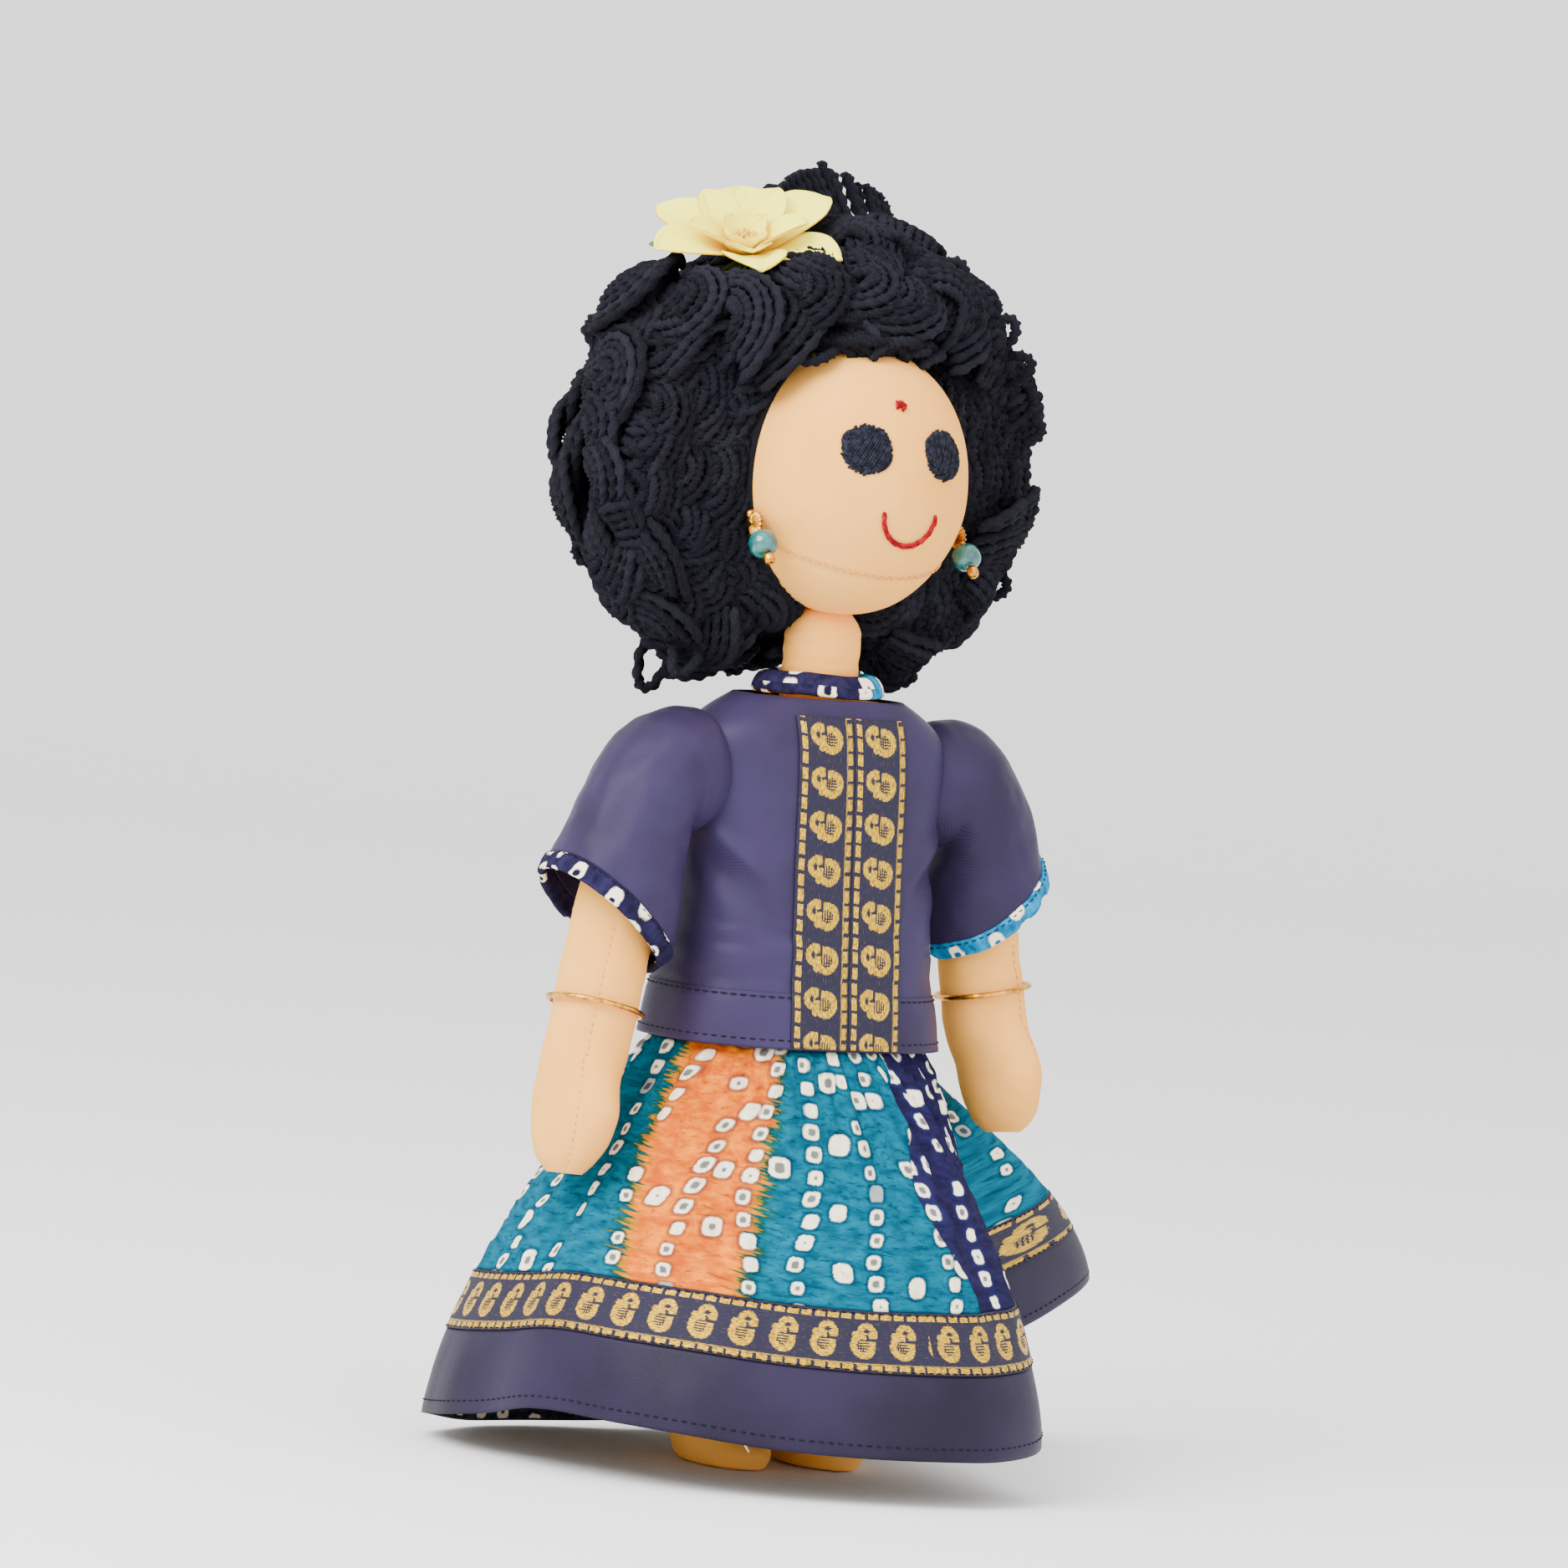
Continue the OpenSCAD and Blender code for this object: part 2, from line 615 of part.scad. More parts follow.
leg_x = 16.5;
foot_forward = 9;
foot_h = 17;
foot_mid_z = 8;
module leg_form(inward) {
  difference() {
    union() {
      translate([0, 0, foot_mid_z]) cylinder(r = leg_r - inward, h = hip_z - foot_mid_z);
      translate([0, 0, hip_z]) sphere(r = leg_r - inward);
      translate([0, -foot_forward, foot_mid_z])
        scale([leg_r - inward, 21 - inward, foot_h - 6 - inward]) sphere(r = 1, $fn = 72);
    }
    translate([-50, -50, -50 + inward]) cube([100, 100, 50]);
  }
}
// The top of the leg is left open where it was filled.
module leg_skin(side) {
  fill_hole_r = 5;
  color(peach) placed() translate([side * leg_x, 0, 0]) difference() {
    leg_form(0);
    leg_form(skin_t);
    translate([0, 0, hip_z]) cylinder(r = fill_hole_r, h = 2 * leg_r);
  }
}
module leg_stuffing(side) {
  color("#f4f1ea") placed() translate([side * leg_x, 0, 0]) leg_form(skin_t + seat);
}

torso_skin();
torso_stuffing();
neck();
bodice();
bodice_hem();
placket();
collar();
back_tape();
waistband();
skirt_main();
skirt_side_panel();
gold_border();
hem_band();
hem_facing();
head_skin();
head_stuffing();
eye(face_turn + eye_angle);  // eye_left
eye(face_turn - eye_angle);  // eye_right
bindi();
smile();
chin_seam();
wig_cap();
hair_crown();
hair_side(1);  // hair_left
hair_side(-1);  // hair_right
flower_petals();
flower_centre();
flower_leaves();
flower_pin();
earring_thread(1);  // earring_thread_left
earring_disc(1);  // earring_disc_left
earring_bead(1);  // earring_bead_left
earring_tip(1);  // earring_tip_left
earring_thread(-1);  // earring_thread_right
earring_disc(-1);  // earring_disc_right
earring_bead(-1);  // earring_bead_right
earring_tip(-1);  // earring_tip_right
arm_skin(arm_left, 1);  // arm_skin_left
arm_stuffing(arm_left, 1);  // arm_stuffing_left
sleeve(sleeve_left, 1);
cuff(sleeve_left, 1);  // cuff_left
bangle(arm_left, 1);  // bangle_left
arm_skin(arm_right, -1);  // arm_skin_right
arm_stuffing(arm_right, -1);  // arm_stuffing_right
sleeve(sleeve_right, -1);
cuff(sleeve_right, -1);  // cuff_right
bangle(arm_right, -1);  // bangle_right
leg_skin(1);  // leg_skin_left
leg_stuffing(1);  // leg_stuffing_left
leg_skin(-1);  // leg_skin_right
leg_stuffing(-1);  // leg_stuffing_right
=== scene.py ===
"""The looks of a stuffed cloth doll in a navy blouse and a tie-dyed skirt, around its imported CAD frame.

Points are worked out in millimetres about the line of the neck, as in the CAD source. The doll faces -Y
and its own left side is +X. Directions round the doll, called a, are in degrees from its front to its left.
"""

import math

import bpy
import numpy as np
from mathutils import Matrix, Vector


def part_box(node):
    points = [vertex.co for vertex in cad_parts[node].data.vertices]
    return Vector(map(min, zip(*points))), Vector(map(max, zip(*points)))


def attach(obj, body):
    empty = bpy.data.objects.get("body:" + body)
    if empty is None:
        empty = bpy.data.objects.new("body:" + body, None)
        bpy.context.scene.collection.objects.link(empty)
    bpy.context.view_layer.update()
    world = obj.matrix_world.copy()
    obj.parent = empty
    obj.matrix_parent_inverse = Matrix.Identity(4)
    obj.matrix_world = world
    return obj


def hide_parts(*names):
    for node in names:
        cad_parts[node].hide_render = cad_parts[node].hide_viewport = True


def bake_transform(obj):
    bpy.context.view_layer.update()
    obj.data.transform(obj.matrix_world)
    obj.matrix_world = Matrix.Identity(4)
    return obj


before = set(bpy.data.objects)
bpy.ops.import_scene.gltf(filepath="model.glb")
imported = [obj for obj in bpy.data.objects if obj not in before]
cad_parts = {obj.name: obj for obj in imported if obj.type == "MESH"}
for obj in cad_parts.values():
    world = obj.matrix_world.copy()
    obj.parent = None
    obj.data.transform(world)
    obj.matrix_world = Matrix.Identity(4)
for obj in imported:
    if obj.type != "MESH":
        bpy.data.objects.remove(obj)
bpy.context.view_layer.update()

MM = 0.001
neck_low, neck_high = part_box("neck")
AXIS = np.array([(neck_low.x + neck_high.x) / 2, (neck_low.y + neck_high.y) / 2, 0.0])
SIDES = {"left": 1, "right": -1}
chance = np.random.default_rng(7)

# Driving sizes, in millimetres, the same as the CAD part's.
HEAD_W, HEAD_H, HEAD_Z, HEAD_FORWARD = 72, 82, 296, 6
HEAD_MID = np.array([0.0, -HEAD_FORWARD, HEAD_Z])
HEAD_HALF = np.array([HEAD_W / 2, HEAD_W / 2, HEAD_H / 2])
HAIR_MID = np.array([0.0, 22.0, 304.0])
HAIR_HALF = np.array([74.0, 52.0, 70.0])
FLOWER_AT = np.array([-25.0, 24.0, 354.0])
NECK_R, NOD_Z = 11.5, 247
COLLAR_Z = 234
SHOULDER_Z, ARMHOLE_X = 206, 44.6
HIP_Z, LEG_X, LEG_R = 84, 16.5, 13
HEM_Z, CLOTH_T, BORDER_W = 127, 1.2, 19
SKIRT_SLOPE, HEM_BAND_W, SKIRT_T = 124, 27, 1.4
WAIST_RX, WAIST_RY, WAIST_Z, FLARE = 44.5, 31, 126.4, 1.55
BORDER_END = 1 - HEM_BAND_W / SKIRT_SLOPE
BORDER_START = BORDER_END - BORDER_W / SKIRT_SLOPE
FABRIC_PER_DEGREE = 1.67      # millimetres of skirt cloth for each degree round the doll


# ---- Numbers --------------------------------------------------------------------------------

def ease(x, low, high):
    """0 below low, 1 above high, and a smooth change between."""
    t = np.clip((np.asarray(x, float) - low) / (high - low), 0, 1)
    return t * t * (3 - 2 * t)


def hump(x, middle, width):
    """A bell of height 1."""
    return np.exp(-((np.asarray(x, float) - middle) / width) ** 2)


def sind(a):
    return np.sin(np.radians(a))


def cosd(a):
    return np.cos(np.radians(a))


def unit(v):
    v = np.asarray(v, float)
    return v / np.maximum(np.linalg.norm(v, axis=-1, keepdims=True), 1e-9)


def signed_power(x, power):
    """x raised to a power with its sign kept, which squares or rounds off a circle."""
    return np.sign(x) * np.abs(x) ** power


def whole_turn(count):
    """Evenly spaced angles round a full turn, in radians, without the closing one."""
    return np.arange(count) * 2 * np.pi / count


def about_neck(r, a, z):
    """Points at distance r and direction a from the neck's line, at height z."""
    return np.stack([r * sind(a), -r * cosd(a), z], -1)


def half_turn_either_way(a):
    """The same direction, from -180 to 180 degrees."""
    return (a + 180) % 360 - 180


# Unrelated large factors, so that neighbouring cells of the noise get unrelated values.
SCATTER, SEED_SCATTER, SCATTER_GAIN = np.array([127.1, 311.7, 74.7]), 19.19, 43758.5453


def lattice(p, seed):
    """A random-looking number from -1 to 1 for each whole-numbered cell."""
    h = np.sin(p[..., 0] * SCATTER[0] + p[..., 1] * SCATTER[1] + p[..., 2] * SCATTER[2]
               + seed * SEED_SCATTER) * SCATTER_GAIN
    return (h - np.floor(h)) * 2 - 1


def noise(p, seed=0):
    """Smooth noise from -1 to 1 at points p, with lumps about one unit across."""
    p = np.asarray(p, float)
    whole = np.floor(p)
    f = p - whole
    f = f * f * (3 - 2 * f)
    total = 0
    for corner in np.ndindex(2, 2, 2):
        c = np.array(corner)
        share = np.prod(np.where(c == 1, f, 1 - f), axis=-1)
        total = total + lattice(whole + c, seed) * share
    return total


def between_keys(p, q, r, s, t):
    """The smooth curve from q (t = 0) to r (t = 1), given the keys before and after them."""
    square, cube = 2 * p - 5 * q + 4 * r - s, 3 * q - p - 3 * r + s
    return 0.5 * (2 * q + (r - p) * t + square * t ** 2 + cube * t ** 3)


def spline(keys, count):
    """A smooth run of points through evenly spaced keys."""
    keys = np.asarray(keys, float)
    x = np.linspace(0, len(keys) - 1, count)
    i = np.minimum(x.astype(int), len(keys) - 2)
    t = (x - i)[:, None]
    return between_keys(*(keys[np.clip(i + k, 0, len(keys) - 1)] for k in (-1, 0, 1, 2)), t)


def evenly(path, step):
    """Points every step along a path, and how far along each one is."""
    path = np.asarray(path, float)
    far = np.concatenate([[0], np.cumsum(np.linalg.norm(np.diff(path, axis=0), axis=1))])
    at = np.arange(0, far[-1], step)
    return np.stack([np.interp(at, far, path[:, k]) for k in range(path.shape[1])], 1), at


# ---- Meshes ---------------------------------------------------------------------------------

def grid(rows, cols, wrap_rows=False, wrap_cols=False):
    """Quads over rows x cols points, and the row and column of each corner counted without wrapping."""
    r, c = np.meshgrid(
        np.arange(rows if wrap_rows else rows - 1), np.arange(cols if wrap_cols else cols - 1), indexing="ij"
    )
    corners = np.stack([np.stack([r, c], -1), np.stack([r, c + 1], -1),
                        np.stack([r + 1, c + 1], -1), np.stack([r + 1, c], -1)], 2).reshape(-1, 4, 2)
    return corners[..., 0] % rows * cols + corners[..., 1] % cols, corners


def build(name, points, faces, material, body, slot, uv=None, attributes=None, sharp=False):
    """A mesh object that rides on a body. faces is a list of arrays; uv lists one pair for each corner."""
    points = np.asarray(points, float).reshape(-1, 3) * MM + AXIS
    faces = [np.asarray(f) for f in faces if len(f)]
    sizes = np.concatenate([np.full(len(f), f.shape[1]) for f in faces])
    corners = np.concatenate([f.reshape(-1) for f in faces])
    mesh = bpy.data.meshes.new(name)
    mesh.vertices.add(len(points))
    mesh.vertices.foreach_set("co", points.astype(np.float32).ravel())
    mesh.loops.add(len(corners))
    mesh.loops.foreach_set("vertex_index", corners.astype(np.int32))
    mesh.polygons.add(len(sizes))
    mesh.polygons.foreach_set("loop_start", np.concatenate([[0], np.cumsum(sizes)[:-1]]).astype(np.int32))
    mesh.polygons.foreach_set("use_smooth", np.full(len(sizes), not sharp))
    mesh.update(calc_edges=True)
    mesh.validate()
    if uv is not None:
        layer = mesh.uv_layers.new(name="cloth")
        flat = np.concatenate([np.asarray(u, float).reshape(-1, 2) for u in uv])
        layer.data.foreach_set("uv", flat.astype(np.float32).ravel())
    for key, values in (attributes or {}).items():
        data = mesh.attributes.new(key, "FLOAT", "POINT")
        data.data.foreach_set("value", np.asarray(values, np.float32).ravel())
    mesh.materials.append(material)
    piece = bpy.data.objects.new(name, mesh)
    bpy.context.scene.collection.objects.link(piece)
    if body:
        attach(piece, body)
    return piece


def shell(outer, inner, wrap, uv=None):
    """A closed sheet between an outer and an inner grid of points, as points, faces and corner uv."""
    rows, cols = outer.shape[:2]
    points = np.concatenate([outer, inner[::-1]])
    faces, corners = grid(2 * rows, cols, True, wrap)
    all_faces, all_uv = [faces], None
    if not wrap:
        r = np.arange(rows - 1)
        for c, flip in ((0, False), (cols - 1, True)):
            side = np.stack([r * cols + c, (r + 1) * cols + c,
                             (2 * rows - 2 - r) * cols + c, (2 * rows - 1 - r) * cols + c], 1)
            all_faces.append(side[:, ::-1] if flip else side)
    if uv is not None:
        row = corners[..., 0] % (2 * rows)
        row = np.where(row < rows, row, 2 * rows - 1 - row)
        all_uv = [uv[row, corners[..., 1]]]
        if not wrap:
            all_uv += [np.zeros((rows - 1, 4, 2)) + uv[0, 0], np.zeros((rows - 1, 4, 2)) + uv[0, -1]]
    return points.reshape(-1, 3), all_faces, all_uv


def normals_of(surface, wrap):
    """Outward unit normals of a grid of points whose columns go round the doll."""
    if wrap:
        across = np.roll(surface, -1, 1) - np.roll(surface, 1, 1)
    else:
        across = np.gradient(surface, axis=1)
    return unit(np.cross(across, -np.gradient(surface, axis=0)))


def tubes(paths, radius, sides=8, twist=0.0, lobes=0, depth=0.0, ends=0.4):
    """Closed threads along paths with equal numbers of points; twist is in degrees at each point."""
    paths = np.asarray(paths, float)
    count, n = paths.shape[:2]
    along = unit(np.gradient(paths, axis=1))
    side = np.empty_like(paths)
    side[:, 0] = unit(np.cross(along[:, 0], [0.31, 0.52, 0.79]))
    for i in range(1, n):
        v = side[:, i - 1]
        side[:, i] = unit(v - along[:, i] * np.sum(v * along[:, i], -1, keepdims=True))
    other = np.cross(along, side)
    spoke = whole_turn(sides)
    angle = spoke[None] + np.radians(twist) * np.arange(n)[:, None]
    size = np.ones(n)
    size[0] = size[-1] = ends
    size[1] = size[-2] = (1 + ends) / 2 + 0.15
    ridges = 1 + depth * np.cos(lobes * spoke)
    r = np.asarray(radius, float).reshape(-1, 1, 1) * size[None, :, None] * ridges
    points = (paths[:, :, None] + (r * np.cos(angle))[..., None] * side[:, :, None]
              + (r * np.sin(angle))[..., None] * other[:, :, None])
    base = grid(n, sides, False, True)[0]
    start = np.arange(count)[:, None, None] * n * sides
    quads = (base[None] + start).reshape(-1, 4)
    ring = np.arange(sides)
    caps = np.concatenate([ring[::-1][None] + start[:, 0], ring[None] + start[:, 0] + (n - 1) * sides])
    return points.reshape(-1, 3), [quads, caps]


def joined(parts):
    """Several (points, faces) as one."""
    points, faces, start = [], [], 0
    for p, f in parts:
        points.append(p)
        faces += [np.asarray(x) + start for x in f]
        start += len(p)
    return np.concatenate(points), faces


def stitches(path, outward, length, gap, radius, lift=0.1):
    """A running stitch along a path: short threads that dip into the cloth at both ends."""
    fine, far = evenly(path, length / 6)
    known = np.linspace(0, far[-1], len(outward))
    out = np.stack([np.interp(far, known, outward[:, k]) for k in range(3)], 1)
    rows, start = [], 0.0
    while start + length < far[-1]:
        at = start + np.linspace(0, length, 6)
        p = np.stack([np.interp(at, far, fine[:, k]) for k in range(3)], 1)
        o = np.stack([np.interp(at, far, out[:, k]) for k in range(3)], 1)
        bow = np.array([-0.9, 0.5, 1, 1, 0.5, -0.9])[:, None] * radius
        rows.append(p + o * (bow + lift))
        start += length + gap
    return tubes(rows, radius, 6)


def loft(centres, half, along, sides, squarish=2.0):
    """Rings of points about centres; half gives each ring's two half-widths."""
    w = unit(along)
    u = unit(np.cross(np.broadcast_to([0.0, 1.0, 0.0], w.shape), w))
    v = np.cross(w, u)
    spoke = whole_turn(sides)
    c = signed_power(np.cos(spoke), 2 / squarish)
    s = signed_power(np.sin(spoke), 2 / squarish)
    return (centres[:, None] + u[:, None] * half[:, None, :1] * c[None, :, None]
            + v[:, None] * half[:, None, 1:2] * s[None, :, None])


def solid(rings, uv=None):
    """A closed solid through rings, with its two ends closed by fans."""
    n, sides = rings.shape[:2]
    points = np.concatenate([rings.reshape(-1, 3), rings[:1].mean(1), rings[-1:].mean(1)])
    faces, corners = grid(n, sides, False, True)
    i = np.arange(sides)
    j = (i + 1) % sides
    first = np.stack([j, i, np.full(sides, n * sides)], 1)
    last = np.stack([i + (n - 1) * sides, j + (n - 1) * sides, np.full(sides, n * sides + 1)], 1)
    corner_uv = None
    if uv is not None:
        corner_uv = [uv[corners[..., 0], corners[..., 1]], np.zeros((2 * sides, 3, 2))]
    return points, [faces, np.concatenate([first, last])], corner_uv


# ---- Materials ------------------------------------------------------------------------------

def rgb(*channels):
    """A linear colour from red, green and blue in the usual 0 to 255 scale (the sRGB curve)."""
    linear = [c / 255 / 12.92 if c < 10.3 else ((c / 255 + 0.055) / 1.055) ** 2.4 for c in channels]
    return tuple(linear) + (1,)


class Field:
    """A number that varies over a surface. Arithmetic on fields adds math nodes."""

    def __init__(self, paint, socket):
        self.paint, self.socket = paint, socket

    def __add__(self, other):
        return self.paint.math("ADD", self, other)

    def __sub__(self, other):
        return self.paint.math("SUBTRACT", self, other)

    def __rsub__(self, other):
        return self.paint.math("SUBTRACT", other, self)

    def __mul__(self, other):
        return self.paint.math("MULTIPLY", self, other)

    def __truediv__(self, other):
        return self.paint.math("DIVIDE", self, other)

    __radd__, __rmul__ = __add__, __mul__

    def abs(self):
        return self.paint.math("ABSOLUTE", self)

    def floor(self):
        return self.paint.math("FLOOR", self)

    def fract(self):
        return self.paint.math("FRACT", self)

    def sin(self):
        return self.paint.math("SINE", self)

    def power(self, other):
        return self.paint.math("POWER", self, other)

    def least(self, other):
        return self.paint.math("MINIMUM", self, other)

    def most(self, other):
        return self.paint.math("MAXIMUM", self, other)

    def ease(self, low, high):
        """0 below low and 1 above high; swap them for the reverse."""
        node = self.paint.node("ShaderNodeMapRange", interpolation_type="SMOOTHSTEP")
        for i, value in enumerate((self, low, high)):
            self.paint.feed(node.inputs[i], value)
        return Field(self.paint, node.outputs[0])


class Paint:
    """A material under construction, with short calls for the nodes it needs."""

    def __init__(self, name, roughness=0.7, **settings):
        self.material = bpy.data.materials.new(name)
        self.material.use_nodes = True
        self.tree = self.material.node_tree
        self.shader = self.tree.nodes["Principled BSDF"]
        self.shader.inputs["Roughness"].default_value = roughness
        for key, value in settings.items():
            self.shader.inputs[key.replace("_", " ")].default_value = value

    def node(self, kind, **settings):
        node = self.tree.nodes.new(kind)
        for key, value in settings.items():
            setattr(node, key, value)
        return node

    def feed(self, socket, value):
        if isinstance(value, Field):
            self.tree.links.new(value.socket, socket)
        elif hasattr(value, "is_output"):
            self.tree.links.new(value, socket)
        else:
            socket.default_value = value

    def math(self, operation, *values):
        node = self.node("ShaderNodeMath", operation=operation)
        for i, value in enumerate(values):
            self.feed(node.inputs[i], value)
        return Field(self, node.outputs[0])

    def cloth(self):
        """The two cloth coordinates, in millimetres."""
        node = self.node("ShaderNodeUVMap", uv_map="cloth")
        parts = self.node("ShaderNodeSeparateXYZ")
        self.tree.links.new(node.outputs[0], parts.inputs[0])
        return Field(self, parts.outputs[0]), Field(self, parts.outputs[1])

    def place(self):
        """The object coordinates, in metres, as one vector socket."""
        return self.node("ShaderNodeTexCoord").outputs["Object"]

    def height(self):
        parts = self.node("ShaderNodeSeparateXYZ")
        self.tree.links.new(self.place(), parts.inputs[0])
        return [Field(self, parts.outputs[i]) for i in range(3)]

    def stored(self, key):
        return Field(self, self.node("ShaderNodeAttribute", attribute_name=key).outputs["Fac"])

    def vector(self, x, y, z=0.0):
        node = self.node("ShaderNodeCombineXYZ")
        for i, value in enumerate((x, y, z)):
            self.feed(node.inputs[i], value)
        return node.outputs[0]

    def cloud(self, where, scale, detail=2.0, roughness=0.5):
        """Soft noise from 0 to 1."""
        node = self.node("ShaderNodeTexNoise")
        self.feed(node.inputs["Vector"], where)
        node.inputs["Scale"].default_value = scale
        node.inputs["Detail"].default_value = detail
        node.inputs["Roughness"].default_value = roughness
        return Field(self, node.outputs["Fac"])

    def dice(self, where):
        """A random number from 0 to 1 that stays the same over each whole-numbered cell."""
        node = self.node("ShaderNodeTexWhiteNoise", noise_dimensions="3D")
        self.feed(node.inputs["Vector"], where)
        return Field(self, node.outputs["Value"])

    def blend(self, share, first, second):
        """first where share is 0, second where it is 1."""
        node = self.node("ShaderNodeMix", data_type="RGBA", clamp_factor=True)
        for i, value in ((0, share), (6, first), (7, second)):
            self.feed(node.inputs[i], value)
        return node.outputs[2]

    def finish(self, colour, relief=None, strength=0.3, distance=0.0004, roughness=None):
        self.feed(self.shader.inputs["Base Color"], colour)
        if roughness is not None:
            self.feed(self.shader.inputs["Roughness"], roughness)
        if relief is not None:
            bump = self.node("ShaderNodeBump")
            bump.inputs["Strength"].default_value = strength
            bump.inputs["Distance"].default_value = distance
            self.feed(bump.inputs["Height"], relief)
            self.tree.links.new(bump.outputs[0], self.shader.inputs["Normal"])
        return self.material


def weave(paint, u, v, pitch):
    """The relief of a plain weave, from 0 to 1, with a little unevenness in its threads."""
    turn = 2 * math.pi / pitch
    over = (u * turn).sin() * (v * turn).sin()
    slub = paint.cloud(paint.vector(u * 0.25, v * 2.2), 1.0, 1.0)
    return over * 0.4 + slub * 0.5 + 0.3


def cotton_skin():
    paint = Paint("cotton_skin", roughness=0.9, Specular_IOR_Level=0.05)
    x, y, z = paint.height()
    u, v = (x - y) * 1000, z * 1000
    relief = weave(paint, u, v, 0.62)
    soft = paint.cloud(paint.place(), 28, 3)
    colour = paint.blend(soft.ease(0.3, 0.75), rgb(249, 176, 80), rgb(254, 190, 98))
    colour = paint.blend(relief * 0.35, colour, rgb(232, 146, 62))
    return paint.finish(colour, relief, 0.35, 0.00025)


def satin(name, dark, light):
    """Navy satin: a fine diagonal twill that shines softly."""
    paint = Paint(name, roughness=0.42, Specular_IOR_Level=0.1)
    x, y, z = paint.height()
    twill = ((x * 0.8 + y * 0.6 + z) * 9500).sin() * 0.5 + 0.5
    fine = paint.cloud(paint.place(), 900, 2)
    soft = paint.cloud(paint.place(), 22, 3)
    colour = paint.blend(soft.ease(0.3, 0.72), dark, light)
    colour = paint.blend(twill * 0.16, colour, rgb(76, 66, 104))
    return paint.finish(colour, twill * 0.5 + fine * 0.5, 0.12, 0.0002, fine * 0.16 + 0.36)


def squareness(du, dv):
    """Distance from a dot's middle in a squarish measure."""
    return (du.abs().power(3) + dv.abs().power(3)).power(1 / 3)


def ring_dots(paint, u, v, spread, column, pitch, seed, big, keep):
    """Resist-dyed dots in wavy columns: how much ring shows, the dark eye in it, and a random tone."""
    lane = (u / column).floor()
    lane_dice = paint.dice(paint.vector(lane, seed, 3.0))
    wave = (v * 0.075 + lane_dice * 9).sin() * (column * 0.16) + lane_dice * (column * 0.2)
    row_at = v / pitch + lane_dice * 5
    row = row_at.floor()
    luck = paint.dice(paint.vector(lane, row, seed))
    more = paint.dice(paint.vector(row, lane, seed + 11.0))
    du = ((u / column).fract() - 0.6) * column + wave + (luck - 0.5) * (column * 0.12)
    dv = (row_at.fract() - 0.5) * pitch + (more - 0.5) * (pitch * 0.12)
    ragged = (paint.cloud(paint.vector(u * spread, v), 0.55, 2) - 0.5) * 1.1
    far = squareness(du * spread + dv * 0.12, dv) + ragged
    size = big * (0.82 + more * 0.3)
    ring = (size - far).ease(-0.25, 0.35)
    eye_r = (luck * 3.0 - 0.2).least(1.0) * size * 0.5
    eye = (eye_r - far).ease(-0.2, 0.3)
    shown = (keep - luck).ease(0, 0.001)
    return ring * shown, eye * shown, more, (size + 0.9 - far).ease(-0.6, 0.5) * shown


def tie_dye(name, ground, deep, eye_colour, with_stripe):
    """Crinkled cotton, dyed in turquoise or navy with tied dots left pale."""
    paint = Paint(name, roughness=0.85, Specular_IOR_Level=0.04)
    u, v = paint.cloth()
    spread = paint.stored("spread")
    shift = paint.cloud(paint.vector(u * 0.05, v * 0.09), 1.0, 3)
    mottle = paint.cloud(paint.vector(u * 0.11, v * 0.3), 1.0, 4, 0.6)
    streak = paint.cloud(paint.vector(u * 0.16 + shift * 3, v * 0.75 + shift * 5), 1.0, 4, 0.62)
    colour = paint.blend(mottle.ease(0.3, 0.7), deep, ground)
    colour = paint.blend((streak.ease(0.52, 0.66)) * 0.6, colour, eye_colour)
    if with_stripe:
        colour = stripe(paint, colour, u, v, streak, mottle)
    small = ring_dots(paint, u, v, spread, 25.0, 6.8, 2.0, 2.3, 0.84)
    large = ring_dots(paint, u + 13.0, v + 3.0, spread, 25.0, 19.0, 5.0, 3.1, 0.45)
    tint = paint.cloud(paint.vector(u, v), 0.35, 3)
    cream = paint.blend(tint.ease(0.4, 0.75), rgb(255, 246, 222), rgb(240, 222, 186))
    for ring, eye, tone, halo in (small, large):
        colour = paint.blend(halo * 0.55, colour, eye_colour)
        pale = paint.blend((tone - 0.93).ease(0, 0.01), cream, rgb(150, 156, 158))
        colour = paint.blend(ring, colour, pale)
        colour = paint.blend(eye * 0.85, colour, eye_colour)
    crinkle = streak * 0.6 + weave(paint, u * spread, v, 0.8) * 0.35 + small[0] * 0.35 + large[0] * 0.5
    return paint.finish(colour, crinkle, 0.5, 0.0006)


def stripe(paint, colour, u, v, streak, mottle):
    """The orange stripe down the cloth, with combed edges that run through green."""
    slope = v / (SKIRT_SLOPE * BORDER_START)
    left = (slope * 13 + 283) * FABRIC_PER_DEGREE
    right = (slope * -3 + 326) * FABRIC_PER_DEGREE
    comb = paint.cloud(paint.vector(u * 0.045, v * 0.85 - u * 0.12), 1.0, 3, 0.7)
    inside = (u - left).least(right - u) + (comb - 0.5) * 34
    orange = paint.blend(mottle.ease(0.35, 0.7), rgb(200, 84, 2), rgb(244, 132, 12))
    orange = paint.blend(streak.ease(0.55, 0.7) * 0.75, orange, rgb(136, 54, 2))
    edge = paint.blend(inside.ease(-5, 1), colour, rgb(12, 66, 44))
    edge = paint.blend(inside.ease(0, 3), edge, rgb(160, 124, 8))
    return paint.blend(inside.ease(2, 5), edge, orange)


